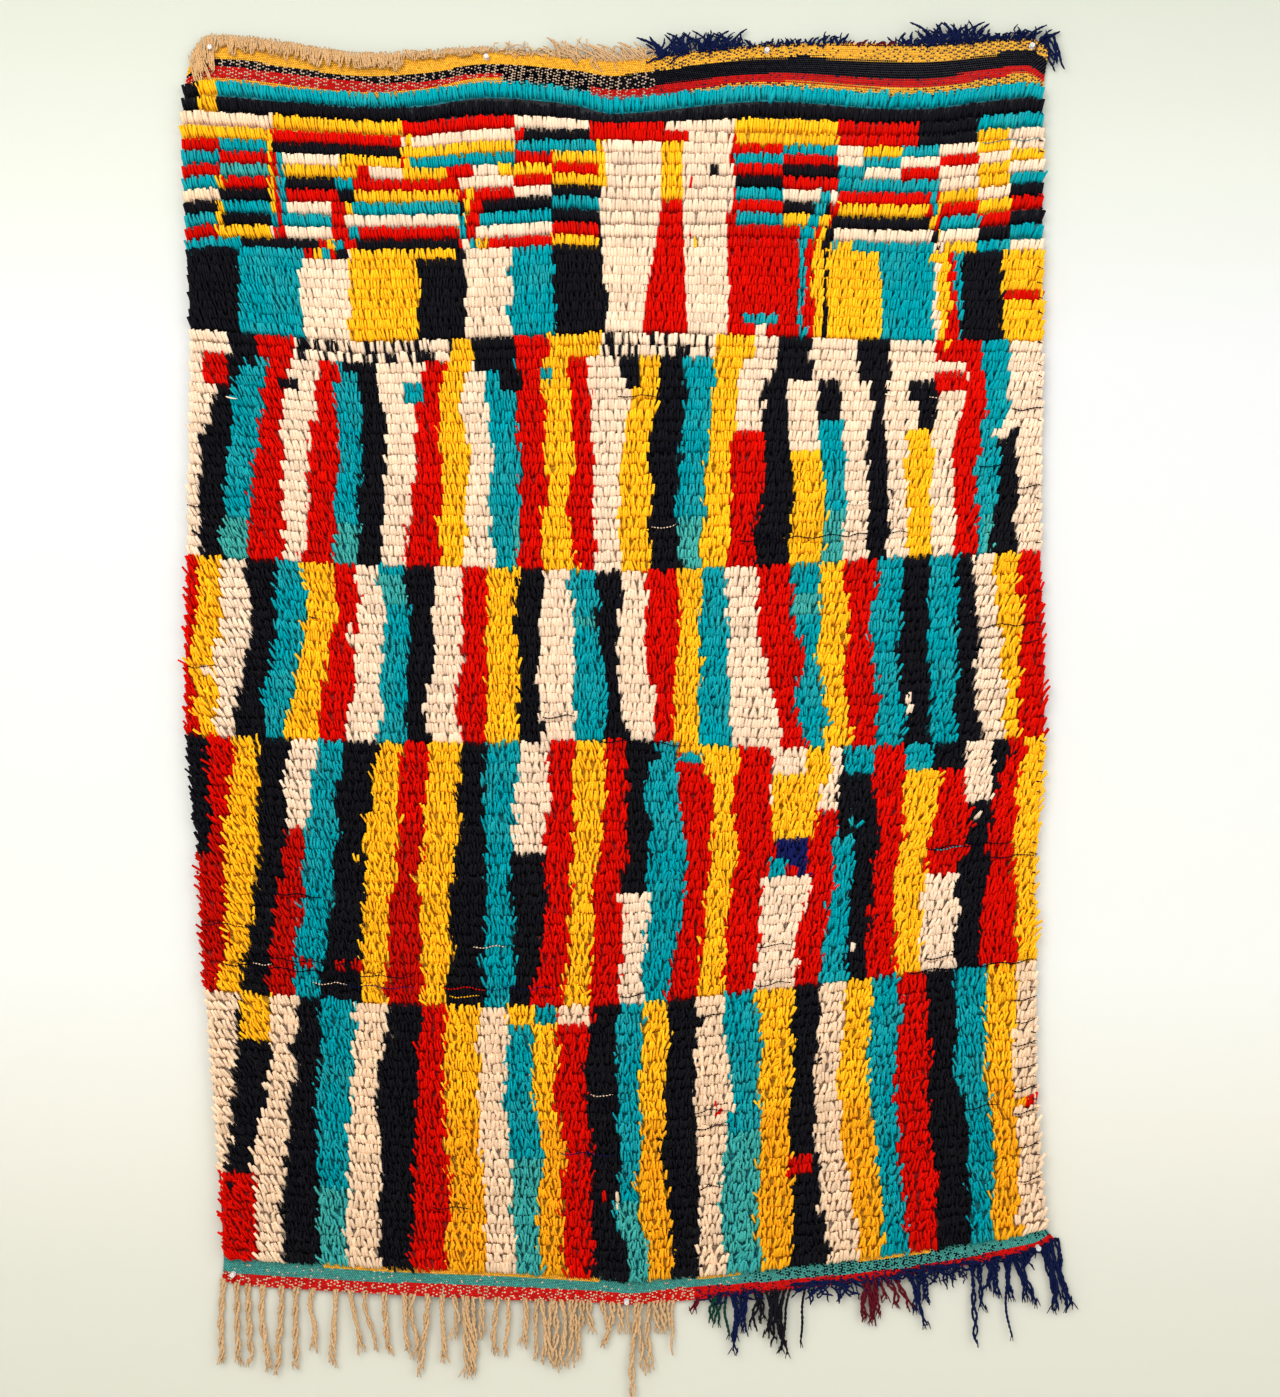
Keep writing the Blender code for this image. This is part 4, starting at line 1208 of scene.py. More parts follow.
def add_backdrop(name, corners, colour, shades=()):
    """A plain pale sheet of the stage, which is clear from behind and casts no shadow on what is near it.

    Shades are painted light and shade: its colour's lightness at some heights, from the lowest, as a Shade
    for each."""
    mesh = bpy.data.meshes.new(name)
    mesh.from_pydata(corners, [], [(0, 1, 2, 3)])
    sheet = linked(name, mesh)
    material, tree, shader = new_material("painted " + name)
    shader.inputs["Base Color"].default_value = (*colour, 1)
    shader.inputs["Roughness"].default_value = 0.9
    # Painted light and shade: the colour is made lighter or darker with height, by the shades.
    if shades:
        low, high = shades[0].height, shades[-1].height
        place = add_node(tree, "ShaderNodeSeparateXYZ")
        feed(tree, place.inputs[0], add_node(tree, "ShaderNodeTexCoord").outputs["Object"])
        ramp = add_node(tree, "ShaderNodeValToRGB")
        height = minus(tree, place.outputs[2], low)
        feed(tree, ramp.inputs[0], maths(tree, "DIVIDE", height, high - low))
        stops = ramp.color_ramp.elements
        for shade in shades[1:-1]:
            stops.new((shade.height - low) / (high - low))
        for stop, shade in zip(stops, shades):
            stop.color = (*(part * share for part, share in zip(colour, shade[1:])), 1)
        feed(tree, shader.inputs["Base Color"], ramp.outputs["Color"])
    path = add_node(tree, "ShaderNodeLightPath").outputs
    back = add_node(tree, "ShaderNodeNewGeometry").outputs["Backfacing"]
    behind = times(tree, back, path["Is Camera Ray"])
    near = maths(tree, "LESS_THAN", path["Ray Length"], 0.009)
    close = times(tree, near, path["Is Shadow Ray"])
    mix = add_node(tree, "ShaderNodeMixShader")
    feed(tree, mix.inputs[0], maths(tree, "MAXIMUM", behind, close))
    feed(tree, mix.inputs[1], shader.outputs[0])
    feed(tree, mix.inputs[2], add_node(tree, "ShaderNodeBsdfTransparent").outputs[0])
    feed(tree, tree.nodes["Material Output"].inputs["Surface"], mix.outputs[0])
    mesh.materials.append(material)


class RUG_OT_cloth(bpy.types.Operator):
    """Makes the woven cloth that carries the pile, with the knots' dyes on its back."""

    bl_idname = "rug.cloth"
    bl_label = "Woven Cloth"

    def execute(self, context):
        cloth = make_cloth()
        cloth.data.materials.append(cloth_material())
        finished(cloth)
        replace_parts(cloth, "rug_body")
        return {"FINISHED"}


# The cloth's mesh: its columns, and its steps in each row of a flat-woven end.
COLUMNS_ACROSS = 156
END_STEPS = 4


def make_cloth():
    """A thin closed sheet over the whole rug, from its top edge to its hem."""
    rows = ([-k / END_STEPS for k in range(END_ROWS * END_STEPS, 0, -1)] + list(range(ROWS))
            + [ROWS + k / END_STEPS for k in range(END_ROWS * END_STEPS + 1)])
    half_step = 0.5 / END_STEPS
    mesh = bpy.data.meshes.new("woven cloth")
    build = bmesh.new()
    dye_layer = build.loops.layers.float_color.new("dye")
    fronts, backs = [], []
    for row in rows:
        front_row, back_row = [], []
        for step in range(COLUMNS_ACROSS + 1):
            front = front_at(step / COLUMNS_ACROSS, row)
            front_row.append(build.verts.new(front))
            back_row.append(build.verts.new((front.x, front.y + CLOTH_THICKNESS, front.z)))
        fronts.append(front_row)
        backs.append(back_row)

    def paint(face, colour):
        for loop in face.loops:
            loop[dye_layer] = (*colour, 1)

    for i in range(len(rows) - 1):
        for j in range(COLUMNS_ACROSS):
            a, b, c, d = fronts[i][j], fronts[i + 1][j], fronts[i + 1][j + 1], fronts[i][j + 1]
            e, f, g, h = backs[i][j], backs[i][j + 1], backs[i + 1][j + 1], backs[i + 1][j]
            x = (e.co.x + f.co.x) / 2
            if 0 <= rows[i] < ROWS:
                letter = letter_at(x, rows[i] + 0.5)
                if letter == "m":
                    letter = "k" if (i + j) % 2 else "n"
                dye = DYES[LETTERS[letter]][0]
            elif rows[i] < 0:
                dye = FLAT_DYES[heading_ground(x, (rows[i] - TOP_ROW + half_step) / END_ROWS)]
            else:
                dye = FLAT_DYES[hem_ground(x, (rows[i] - ROWS + half_step) / END_ROWS)]
            paint(build.faces.new((a, b, c, d)), dye)
            paint(build.faces.new((e, f, g, h)), dye)
    last = len(rows) - 1
    for i in range(last):
        paint(build.faces.new((fronts[i][0], backs[i][0], backs[i + 1][0], fronts[i + 1][0])), WARP)
        paint(build.faces.new((fronts[i][-1], fronts[i + 1][-1], backs[i + 1][-1], backs[i][-1])), WARP)
    for j in range(COLUMNS_ACROSS):
        paint(build.faces.new((fronts[0][j], fronts[0][j + 1], backs[0][j + 1], backs[0][j])), WARP)
        paint(build.faces.new((fronts[last][j], backs[last][j], backs[last][j + 1], fronts[last][j + 1])),
              WARP)
    bmesh.ops.recalc_face_normals(build, faces=build.faces)
    build.to_mesh(mesh)
    build.free()
    return linked("woven_cloth", mesh)


# The weave that shows on the cloth: the distance between its ribs, and between knots.
RIB_SPACING = 0.0105
KNOT_SPACING = 0.0048


def cloth_material():
    """The woven cloth: rows of flattened knots and wefts in the dyes of the chart, darkened throughout by
    painted shade that stands in for the shade under the pile, with more painted shade in the grooves of the
    weave.
    """
    material, tree, shader = new_material("woven cloth")
    painted = add_node(tree, "ShaderNodeAttribute", attribute_name="dye").outputs["Color"]
    place = add_node(tree, "ShaderNodeSeparateXYZ")
    feed(tree, place.inputs[0], add_node(tree, "ShaderNodeTexCoord").outputs["Object"])
    ribs = maths(tree, "SINE", times(tree, place.outputs["Z"], 2 * math.pi / RIB_SPACING))
    knots = maths(tree, "SINE", times(tree, place.outputs["X"], 2 * math.pi / KNOT_SPACING))
    weave = plus(tree, ribs, times(tree, knots, 0.6))
    # Painted shade: the dyes are darkened to about three quarters, and darker still in the grooves between
    # ribs and knots.
    shade = plus(tree, times(tree, weave, 0.12), 0.72)
    feed(tree, shader.inputs["Base Color"], shaded(tree, painted, shade))
    fibre = group_node(tree, "Wool Fibre Height", wool_fibre_group)
    bumped(tree, shader, plus(tree, fibre.outputs["Height"], weave), 0.8, 0.0015)
    shader.inputs["Roughness"].default_value = 0.88
    shader.inputs["Sheen Weight"].default_value = 0.2
    return material


class RUG_OT_pile(bpy.types.Operator):
    """Knots the pile, one piece for each dye."""

    bl_idname = "rug.pile"
    bl_label = "Pile"

    def execute(self, context):
        sizes = context.scene.azilal_sizes
        strands = pile_strands(sizes)
        for letter, title in LETTERS.items():
            found = [strand for strand in strands if strand.letter == letter]
            if not found:
                raise RuntimeError("no strands of " + title + " are charted")
            natural = letter == "n"
            numbers = {field: [getattr(strand, field) for strand in found] for field in Strand._fields[2:]}
            piece = grown(title + "_pile", LAID_PILE, [strand.root for strand in found], [], numbers, {}, {
                "Strand Length": sizes.strand_length,
                "Stand Out": sizes.stand_out,
                "Strand Width": sizes.natural_width if natural else sizes.dyed_width,
                "Sides": 4 if natural else 3,
                "Steps": 2,
                "Wool": wool_material(title + " pile wool", title),
            })
            finished(piece)
        return {"FINISHED"}


# A strand of pile: its dye letter, its root, and from lay on the numbers that its tree and its wool read.
Strand = namedtuple("Strand", "letter root lay bend reach lift girth tone fading")

# How far from the selvedges the rim's strands are rooted: at the left, more below these rows than above.
RIM_ROWS = (70, 78)
LEFT_RIM = (0.0045, 0.010)
RIGHT_RIM = 0.0045

# How unevenly the pile lies at some rows, and how much of its length shows.
LOOSE_ROWS = (0, 19, 40, 99)
LOOSENESS = (0.06, 0.07, 0.10, 0.13)
FULL_ROWS = (10, 25)
FULLNESS = (0.89, 0.94)
NATURAL_LOOSENESS = 0.65
NATURAL_FULLNESS = 0.87


def pile_strands(sizes):
    """Every strand of the pile, row by row along the dye chart. It lies looser further down the rug."""
    chance = random.Random(23)
    strands = []
    for line in CHART:
        row = line.foot - line.depth
        left, right = sides_at(line.foot)
        for start, end, run_letter in line.runs:
            pitch = sizes.natural_pitch if run_letter in "nm" else sizes.dyed_pitch
            count = max(1, round((end - start) / 1000 / pitch))
            run_tone = chance.gauss(0, 0.22)
            for k in range(count):
                x = (start + (end - start) * (k + 0.5) / count) / 1000 + chance.gauss(0, 0.0006)
                x = min(max(x, left + between(RIM_ROWS, LEFT_RIM, row)), right - RIGHT_RIM)
                letter = run_letter
                if letter == "m":
                    letter = "n" if chance.random() < 0.55 else "k"
                across = (x - left) / (right - left)
                loose = between(LOOSE_ROWS, LOOSENESS, row)
                full = between(FULL_ROWS, FULLNESS, row)
                if letter == "n":
                    loose *= NATURAL_LOOSENESS
                    full = NATURAL_FULLNESS
                root = front_at(across, line.foot - (0.1 + chance.gauss(0, loose)) * line.depth)
                strands.append(Strand(
                    letter=letter,
                    root=root,
                    lay=lay_at(x, row) + chance.gauss(0, loose),
                    bend=chance.gauss(0, 1.6 * loose),
                    reach=full * min(1.15, max(0.8, chance.gauss(1.0, 0.7 * loose))),
                    lift=min(1.12, max(0.85, chance.gauss(1.0, 0.7 * loose))),
                    girth=max(0.7, chance.gauss(1.2 if row < 1 else 1.0, 0.10)),
                    tone=max(-1.0, min(1.0, run_tone + chance.gauss(0, 0.4))),
                    fading=fading_at(letter, x, row)))
    return strands


class Skein:
    """Runs of yarn gathered for one piece, with the width and tone of each."""

    def __init__(self):
        self.points, self.edges, self.girth, self.tone, self.dyes = [], [], [], [], []

    def lay(self, points, girth=1.0, tone=0.0, dye=(0.5, 0.5, 0.5)):
        """Adds one run through these points."""
        first = len(self.points)
        self.points += points
        self.edges += [(first + k, first + k + 1) for k in range(len(points) - 1)]
        self.girth += [girth] * len(points)
        self.tone += [tone] * len(points)
        self.dyes += [dye] * len(points)

    def spin(self, name, width, turn, step, wool, flatness=0.58, sides=6):
        """Makes the yarn a piece."""
        return grown(name, TWISTED_YARN, self.points, self.edges,
                     {"girth": self.girth, "tone": self.tone, "fading": [0.0] * len(self.points)},
                     {"dye": self.dyes},
                     {"Yarn Width": width, "Turn Length": turn, "Step": step, "Flatness": flatness,
                      "Sides": sides, "Wool": wool})


def edge_point(x, row):
    """The point on the front of the cloth at x, in metres, in that row."""
    left, right = sides_at(row)
    return front_at(min(max((x - left) / (right - left), 0.0), 1.0), row)


# A tassel: the row that it is rooted in, the length of one turn of its yarns, their steps, and how far from
# its middle they lie. Nothing of it lies closer to the wall than its back.
TASSEL_ROW = 100.8
TASSEL_TURN = 0.05
TASSEL_STEP = 0.009
TASSEL_SPREAD = 0.0028
TASSEL_BACK = -0.0022


def tassel_runs(skein, tassel, chance, dye):
    """A hanging tassel: yarns that wind round each other and come apart at their ends."""
    length = tassel.length / 1000
    start = edge_point(tassel.x / 1000, TASSEL_ROW)
    drop = start.z - edge_point(tassel.x / 1000, HEM_ROW).z + length
    sway = chance.gauss(0, 0.0030)
    turns = chance.choice((-1, 1)) * length / TASSEL_TURN
    phase = chance.uniform(0, 2 * math.pi)
    count = max(6, round(length / TASSEL_STEP))
    for number in range(tassel.yarns):
        around = phase + 2 * math.pi * number / tassel.yarns
        reach = drop * (1 - 0.06 * chance.random() * number)
        points = []
        for k in range(count + 1):
            share = k / count
            wind = around + 2 * math.pi * turns * share
            spread = 0.0 if tassel.yarns == 1 else TASSEL_SPREAD + 0.0020 * max(0.0, share - 0.8) * 5
            x = (start.x + tassel.drift / 1000 * share + sway * math.sin(math.pi * 1.6 * share + phase)
                 + 0.0012 * math.sin(9 * share + around) + spread * math.cos(wind))
            y = start.y * (1 - share) - 0.0068 * share - 0.0005 + spread * 0.7 * math.sin(wind)
            points.append((x, min(y, TASSEL_BACK), start.z - reach * share))
        skein.lay(points, chance.uniform(0.85, 1.1), chance.gauss(0, 0.3), dye)
        x, y, z = points[-1]
        for _ in range(2):
            lean = chance.gauss(tassel.drift / max(tassel.length, 1) * 0.5, 0.35)
            fray = [(x + 0.012 * lean * (k / 3), y, z + 0.007 - 0.0045 * k) for k in range(4)]
            skein.lay(fray, 0.42, chance.gauss(0.1, 0.3), dye)


def short_ends(skein, stretch, chance, dye):
    """A row of short cut ends that stand up from the top edge."""
    for number in range(stretch.ends):
        x = stretch.first + (stretch.last - stretch.first) * (number + chance.random()) / stretch.ends
        start = edge_point(x, TOP_ROW)
        length = stretch.length * chance.uniform(0.55, 1.15)
        lean = stretch.lean + chance.gauss(0, 0.35)
        bend = chance.gauss(0, 0.5)
        out = chance.uniform(0.0, 0.30)
        points = []
        for k in range(7):
            share = k / 6
            points.append((start.x + length * (lean * share + bend * share * share),
                           min(start.y - 0.0002 - length * out * share * (1.4 - share), -0.0014),
                           start.z + length * (share - 0.12 * share * share) - 0.004))
        skein.lay(points, chance.uniform(0.7, 1.15), chance.gauss(0, 0.3), dye)


def frizz(skein, stretch, row, way, chance, dye):
    """Tangled fluff: short curls that wander up (1) or down (-1) from an edge.

    They start a little way in from it, but not near the right corner."""
    for number in range(stretch.ends):
        x = stretch.first + (stretch.last - stretch.first) * (number + chance.random()) / stretch.ends
        start = edge_point(x, row)
        angle = way * math.pi / 2 + chance.gauss(0, 0.7)
        reach = 0.006 if start.x < 0.58 else 0.001
        place = Vector((start.x, start.y - 0.003, start.z - way * chance.uniform(0.0, reach)))
        points = [tuple(place)]
        for _ in range(9):
            angle += chance.gauss(0, 0.6)
            place.x += math.cos(angle) * stretch.length / 7
            place.z += math.sin(angle) * stretch.length / 7
            place.z = place.z if way > 0 else min(place.z, start.z + reach / 2)
            place.y = min(-0.0016, max(-0.013, place.y + chance.gauss(0, 0.0016)))
            points.append(tuple(place))
        skein.lay(points, chance.uniform(0.55, 0.95), chance.gauss(0, 0.3), dye)


def corner_tuft(skein, chance, dye):
    """The yarns that bend over at the top right corner and hang beside the rug, and one that stands up."""
    corner = edge_point(0.688, TOP_ROW)
    for number in range(6):
        sweep = 0.007 + 0.0025 * number
        drop = chance.uniform(0.040, 0.058)
        points = []
        for k in range(4):
            turn = math.pi * k / 6
            points.append((corner.x + sweep * (1 - math.cos(turn)) + chance.gauss(0, 0.0012),
                           -0.004 - 0.0014 * number, corner.z + 0.010 * math.sin(turn)))
        x, y, z = points[-1]
        for k in range(1, 7):
            points.append((x + 0.0026 * k + chance.gauss(0, 0.0020), y + chance.gauss(0, 0.0008),
                           z - drop * k / 6))
        skein.lay(points, 1.0, chance.gauss(0, 0.3), dye)
    standing = [(corner.x + 0.004 * k, -0.005, corner.z + 0.007 * k - 0.0006 * k * k) for k in range(6)]
    skein.lay(standing, 0.8, 0.0, dye)


class RUG_OT_ends(bpy.types.Operator):
    """Makes the fringes, the folded loops and the loose ends along the top and the hem."""

    bl_idname = "rug.ends"
    bl_label = "Fringes and Ends"

    def execute(self, context):
        chance = random.Random(41)
        black = tuple(context.scene.azilal_dyes.black)
        wool = wool_material("fringe wool")

        skein = Skein()
        for tassel in NATURAL_TASSELS:
            tassel_runs(skein, tassel, chance, WARP)
        fringe = skein.spin("natural_fringe", 0.0066, 0.017, 0.0042, wool)
        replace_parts(finished(fringe), "fringe_bottom_natural")

        skein = Skein()
        for tassel in DARK_TASSELS:
            dye = FRINGE_NAVY if tassel.x > 470 or 180 < tassel.x < 210 else black
            if tassel.x in DARK_RED_TASSELS:
                dye = FRINGE_RED
            if tassel.x in DARK_GREEN_TASSELS:
                dye = FRINGE_GREEN
            tassel_runs(skein, tassel, chance, dye)
        for stretch in FRIZZ:
            frizz(skein, stretch, TASSEL_ROW, -1, chance, FRINGE_NAVY)
        fringe = skein.spin("dark_fringe", 0.0058, 0.016, 0.0042, wool, sides=5)
        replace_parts(finished(fringe), "fringe_bottom_dark")

        skein = Skein()
        for stretch in STANDING_NATURAL:
            short_ends(skein, stretch, chance, WARP)
        frizz(skein, FLUFF, TOP_ROW, 1, chance, WARP)
        ends = skein.spin("standing_natural_ends", 0.0046, 0.013, 0.0040, wool, sides=5)
        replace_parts(finished(ends), "fringe_top_natural")

        skein = Skein()
        for stretch in STANDING_DARK:
            short_ends(skein, stretch, chance, FRINGE_NAVY)
            curls = Stretch(stretch.first, stretch.last, stretch.ends * 2 // 3, stretch.length * 0.75, 0)
            frizz(skein, curls, TOP_ROW, 1, chance, FRINGE_NAVY)
        short_ends(skein, STANDING_RED, chance, FRINGE_RED)
        corner_tuft(skein, chance, FRINGE_NAVY)
        ends = skein.spin("standing_dark_ends", 0.0056, 0.013, 0.0042, wool, sides=5)
        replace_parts(finished(ends), "fringe_top_dark")

        skein = Skein()
        folded_loops(skein, chance, FOLDED_WARP)
        loops = skein.spin("folded_loops", 0.0040, 0.011, 0.0036, wool, sides=5)
        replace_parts(finished(loops), "fringe_top_folded")
        return {"FINISHED"}


# How far above the cloth's edge the folded loops rise, at stations across.
LOOP_STATIONS = (-0.66, -0.58, -0.42)
LOOP_RISES = (0.012, 0.010, 0.004)


def folded_loops(skein, chance, dye):
    """The warp's loops, folded down over the heading."""
    places = [(stretch, number) for stretch in FOLDED_LOOPS for number in range(stretch.ends)]
    for stretch, number in places:
        x = stretch.first + (stretch.last - stretch.first) * (number + chance.random()) / stretch.ends
        start = edge_point(x, TOP_ROW)
        start.z += between(LOOP_STATIONS, LOOP_RISES, x) + chance.gauss(0, 0.0016)
        length = stretch.length * chance.uniform(0.6, 1.12)
        lean = chance.gauss(stretch.lean, 0.16)
        width = chance.uniform(0.0018, 0.0034)
        points = []
        for k in range(11):
            turn = math.pi * k / 10
            down = math.sin(turn) ** 0.8
            points.append((start.x + lean * length * down - width * math.cos(turn),
                           start.y - 0.0032 - 0.0026 * down + chance.gauss(0, 0.0004),
                           start.z + 0.002 - length * down))
        skein.lay(points, chance.uniform(0.75, 1.15), chance.gauss(-0.1, 0.35), dye)


def heading_ground(x, share):
    """The colour name of the top heading at x, so far down it."""
    if share < between(HEADING_STATIONS, YELLOW_ENDS, x):
        return "yellow"
    if share < between(HEADING_STATIONS, BLACK_ENDS, x):
        return "black"
    if share > between(HEADING_STATIONS, RED_ENDS, x) and (x < -0.19 or x > 0.12):
        return "yellow"
    return "black" if -0.19 < x < -0.045 else "red"


def heading_speck(x, ground):
    """The colour name of the warp that shows between the heading's wefts, and how often it does."""
    if x < 0.06:
        return "natural", 0.0 if ground == "yellow" else 0.8
    if ground == "yellow":
        return "navy", between((0.06, 0.12, 0.28, 0.36, 0.46, 0.56), (1.0, 0.8, 0.6, 0.2, 0.6, 1.15), x)
    return "navy", 0.25 if ground == "red" else 0.0


def hem_ground(x, share):
    """The colour name of the hem at x, so far down it."""
    if share < 0.08 and (-0.48 < x < -0.03 or 0.13 < x < 0.2 or 0.39 < x < 0.51):
        return "yellow"
    return "teal" if share < between(HEM_STATIONS, TEAL_ENDS, x) else "red"


def hem_speck(x, ground):
    """The colour name of the warp that shows between the hem's wefts, and how often it does."""
    if ground == "teal" and x > 0.2:
        return "black", between((0.2, 0.3, 0.5, 0.6), (0.1, 0.8, 0.9, 0.3), x)
    if ground != "red":
        return "natural", 0.12
    if x < 0.125:
        return "natural", 0.65
    return "navy", between((0.125, 0.4, 0.5, 0.58, 0.62), (0.3, 0.5, 0.9, 0.7, 0.1), x)


# How many wefts each flat-woven end has. They run on under the pile, to these rows.
HEADING_WEFTS = 24
HEADING_FOOT = 0.25
HEM_WEFTS = 18
HEM_HEAD = 98.7


class RUG_OT_flat_ends(bpy.types.Operator):
    """Weaves the heading above the pile and the hem below it, stitch by stitch."""

    bl_idname = "rug.flat_ends"
    bl_label = "Heading and Hem"

    def execute(self, context):
        sizes = context.scene.azilal_sizes
        wool = wool_material("flat-woven wool", unevenness=0.4, painted_root_shade=0.0)
        for name, first, last, ground_at, speck_at in (
                ("heading_stitches", TOP_ROW, HEADING_FOOT, heading_ground, heading_speck),
                ("hem_stitches", HEM_HEAD, HEM_ROW, hem_ground, hem_speck)):
            chance = random.Random(len(name))
            points, lays, girths, tones, colours = [], [], [], [], []
            at_top = first < 0
            wefts = HEADING_WEFTS if at_top else HEM_WEFTS
            speck_girths = (0.74, 0.95) if at_top else (0.84, 1.04)
            for number in range(wefts):
                row = first + (last - first) * (number + 0.5) / wefts
                left, right = sides_at(row)
                count = round((right - left) / sizes.stitch_width)
                for place in range(count):
                    across = (place + 0.5 * (number % 2) + 0.25) / count
                    spot = front_at(across, row)
                    beside = front_at(min(across + 0.01, 1.0), row)
                    points.append((spot.x, spot.y - 0.0004, spot.z))
                    lays.append(-math.atan2(beside.z - spot.z, max(beside.x - spot.x, 1e-6))
                                if across < 0.99 else 0.0)
                    tones.append(chance.gauss(0, 0.35))
                    share = (row - (TOP_ROW if at_top else ROWS)) / END_ROWS
                    ground = ground_at(spot.x, share)
                    speck, often = speck_at(spot.x, ground)
                    if (place + 2 * number) % 4 < 2 and chance.random() < often * 0.85:
                        colours.append(FLAT_DYES[speck])
                        girths.append(chance.uniform(*speck_girths))
                    else:
                        colours.append(FLAT_DYES[ground])
                        girths.append(chance.uniform(0.9, 1.12))
            stitches = grown(name, WEFT_STITCHES, points, [],
                             {"lay": lays, "girth": girths, "tone": tones, "fading": [0.0] * len(points),
                              "share": [1.0] * len(points)}, {"dye": colours},
                             {"Stitch Width": sizes.stitch_width * 1.3, "Stitch Height": 0.0033,
                              "Stitch Depth": 0.0032, "Wool": wool})
            finished(stitches)
        return {"FINISHED"}


# How far out from the cloth the loose wefts lie, on the tips of the pile.
WEFT_HEIGHT = 0.0186


class RUG_OT_loose_wefts(bpy.types.Operator):
    """Lays the loose wefts that show across the pile."""

    bl_idname = "rug.loose_wefts"
    bl_label = "Loose Wefts"

    def execute(self, context):
        chance = random.Random(7)
        skein = Skein()
        ticks = []
        for row in range(2, ROWS):
            if chance.random() < 0.5:
                rim = sides_at(row)[1] * 1000
                ticks.append(Weft(row, rim - chance.uniform(7, 12), rim - 2, "k"))
        for weft in LOOSE_WEFTS + tuple(ticks):
            count = max(2, round((weft.right - weft.left) / 6))
            points = []
            for k in range(count + 1):
                x = (weft.left + (weft.right - weft.left) * k / count) / 1000
                spot = edge_point(x, weft.row + 0.12 * math.sin(k * 0.7) + chance.gauss(0, 0.03))
                ripple = 0.0018 * math.sin(k * 1.1 + weft.row)
                points.append((spot.x, spot.y - WEFT_HEIGHT - ripple, spot.z))
            dark = weft.dye == "k"
            skein.lay(points, chance.uniform(1.1, 1.6) if dark else chance.uniform(0.9, 1.3),
                      chance.gauss(0, 0.2), WEFT_DARK if dark else DYES[LETTERS[weft.dye]][0])
        wefts = skein.spin("loose_wefts", 0.0025, 0.008, 0.005, wool_material("fringe wool"), 0.8, 4)
        finished(wefts)
        return {"FINISHED"}


class RUG_OT_pins(bpy.types.Operator):
    """Makes the seven clear push pins."""

    bl_idname = "rug.pins"
    bl_label = "Push Pins"

    def execute(self, context):
        mesh = bpy.data.meshes.new("push_pins")
        build = bmesh.new()
        names = ["push_pin_" + str(number) for number in range(1, len(PINS) + 1)]
        for name in names:
            low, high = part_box(name)
            x, z = (low.x + high.x) / 2, (low.z + high.z) / 2
            foot = low.y + PIN_HEAD[-1][1]
            turned(build, x, z, [(radius, foot - height) for radius, height in PIN_HEAD], 24, 0)
            needle = ((0.0, high.y - 0.0002), (NEEDLE_RADIUS, high.y - 0.0008),
                      (NEEDLE_RADIUS, foot - 0.004), (0.0, foot - 0.0041))
            turned(build, x, z, needle, 8, 1)
        bmesh.ops.recalc_face_normals(build, faces=build.faces)
        for face in build.faces:
            face.smooth = True
        build.to_mesh(mesh)
        build.free()
        pins = linked("push_pins", mesh)
        mesh.materials.append(clear_plastic())
        mesh.materials.append(needle_steel())
        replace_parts(finished(pins), *names)
        return {"FINISHED"}


def turned(build, x, z, profile, sides, slot_number):
    """A closed shape turned about a line out from the wall."""
    rings = []
    for radius, y in profile:
        if radius == 0:
            rings.append([build.verts.new((x, y, z))])
            continue
        turns = [2 * math.pi * k / sides for k in range(sides)]
        rings.append([build.verts.new((x + radius * math.cos(turn), y, z + radius * math.sin(turn)))
                      for turn in turns])
    for above, below in zip(rings, rings[1:]):
        for k in range(sides):
            after = (k + 1) % sides
            if len(above) == 1:
                corners = (above[0], below[k], below[after])
            elif len(below) == 1:
                corners = (above[k], above[after], below[0])
            else:
                corners = (above[k], above[after], below[after], below[k])
            build.faces.new(corners).material_index = slot_number


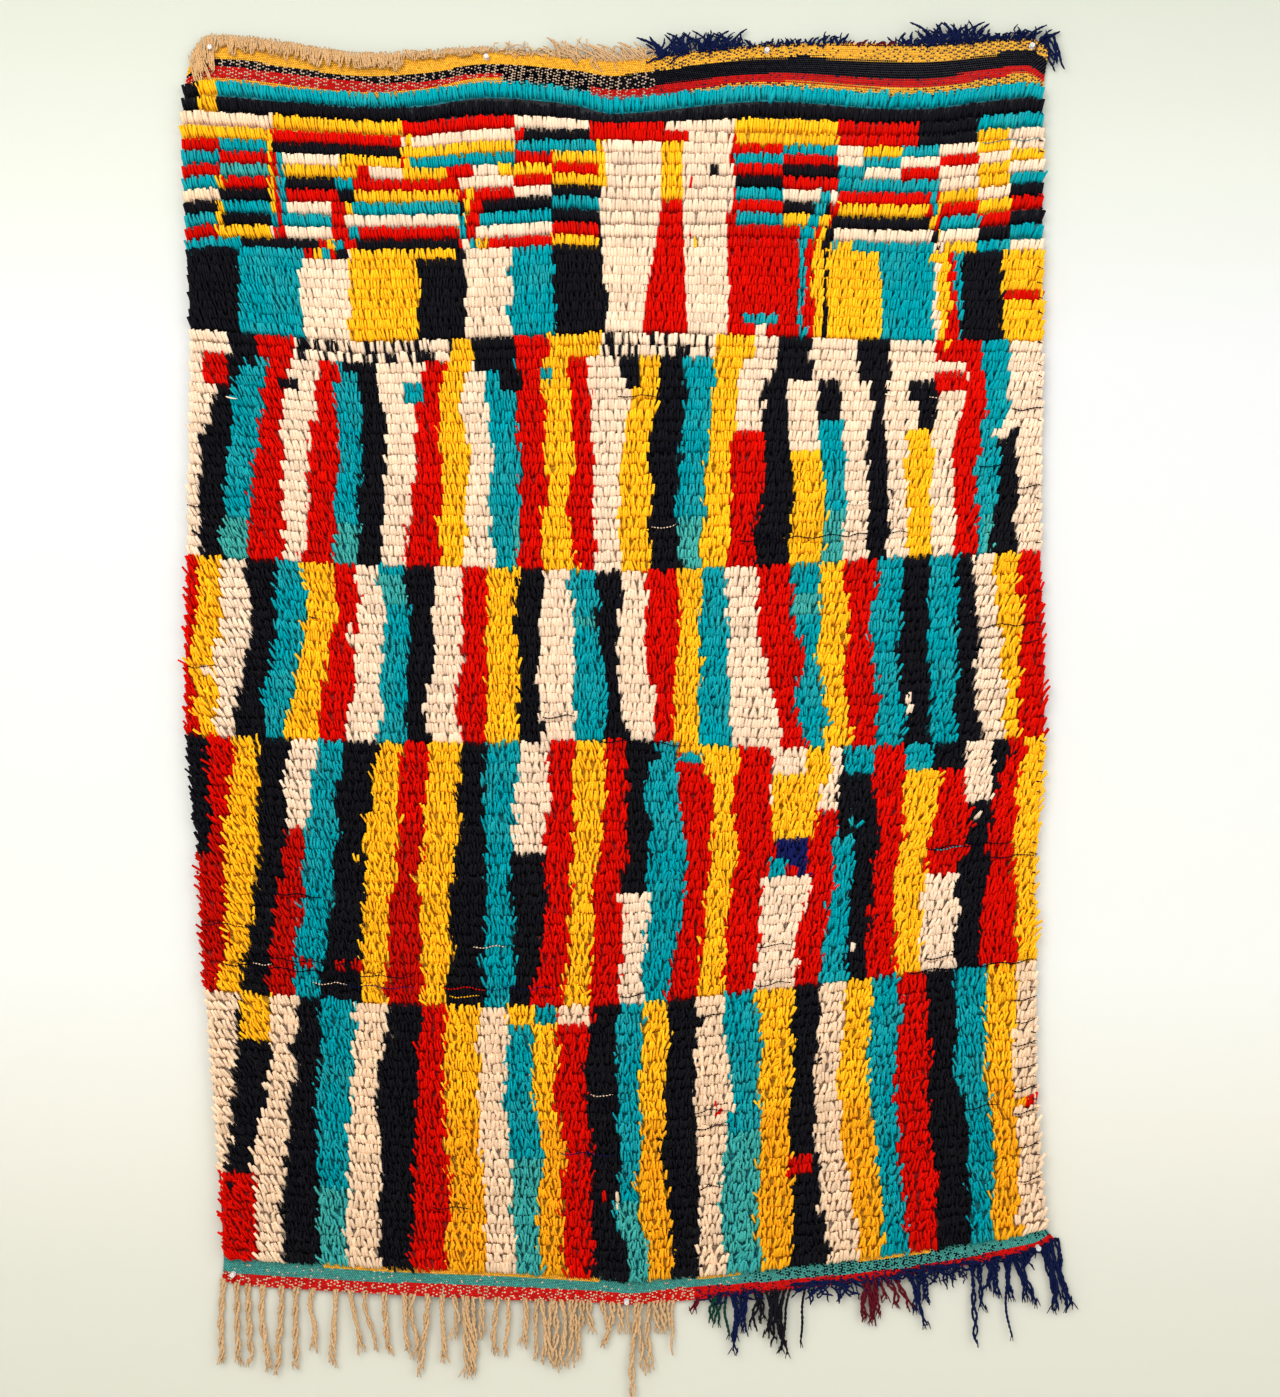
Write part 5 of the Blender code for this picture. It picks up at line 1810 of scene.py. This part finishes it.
def clear_plastic():
    """Clear moulded plastic, faintly scuffed."""
    material, tree, shader = new_material("clear moulded plastic")
    shader.inputs["Base Color"].default_value = (0.92, 0.92, 0.88, 1)
    shader.inputs["Transmission Weight"].default_value = 0.55
    shader.inputs["IOR"].default_value = 1.49
    scuffs = times(tree, noise(tree, 600.0), 0.14)
    feed(tree, shader.inputs["Roughness"], plus(tree, 0.04, scuffs))
    return material


def needle_steel():
    """Bright drawn steel."""
    material, tree, shader = new_material("needle steel")
    shader.inputs["Base Color"].default_value = (0.62, 0.62, 0.60, 1)
    shader.inputs["Metallic"].default_value = 1.0
    drawn = times(tree, noise(tree, 1500.0), 0.2)
    feed(tree, shader.inputs["Roughness"], plus(tree, 0.2, drawn))
    return material


class RUG_OT_hang(bpy.types.Operator):
    """Takes no step: the rug is one sheet, hung up, with its pile and fringes on it."""

    bl_idname = "rug.hang"
    bl_label = "Hang the Rug"

    def execute(self, context):
        return {"FINISHED"}


class RUG_PT_panel(bpy.types.Panel):
    """Lists the rug's pieces, sizes and colours."""

    bl_idname = "RUG_PT_panel"
    bl_label = "Azilal Rug"
    bl_space_type = "VIEW_3D"
    bl_region_type = "UI"
    bl_category = "Rug"

    def draw(self, context):
        for group in (context.scene.azilal_dyes, context.scene.azilal_sizes):
            for title in group.__annotations__:
                self.layout.prop(group, title)
        for kind in STEPS:
            self.layout.operator(kind.bl_idname)


STEPS = (RUG_OT_stage, RUG_OT_cloth, RUG_OT_flat_ends, RUG_OT_pile, RUG_OT_loose_wefts, RUG_OT_ends,
         RUG_OT_pins, RUG_OT_hang)
CLASSES = (AzilalDyes, AzilalSizes) + STEPS + (RUG_PT_panel,)


def register():
    for kind in CLASSES:
        bpy.utils.register_class(kind)
    bpy.types.Scene.azilal_dyes = bpy.props.PointerProperty(type=AzilalDyes)
    bpy.types.Scene.azilal_sizes = bpy.props.PointerProperty(type=AzilalSizes)


def unregister():
    del bpy.types.Scene.azilal_sizes
    del bpy.types.Scene.azilal_dyes
    for kind in reversed(CLASSES):
        bpy.utils.unregister_class(kind)


def main():
    register()
    bpy.ops.rug.stage()
    bpy.ops.rug.cloth()
    bpy.ops.rug.flat_ends()
    bpy.ops.rug.pile()
    bpy.ops.rug.loose_wefts()
    bpy.ops.rug.ends()
    bpy.ops.rug.pins()
    bpy.ops.rug.hang()


if __name__ == "__main__":
    main()
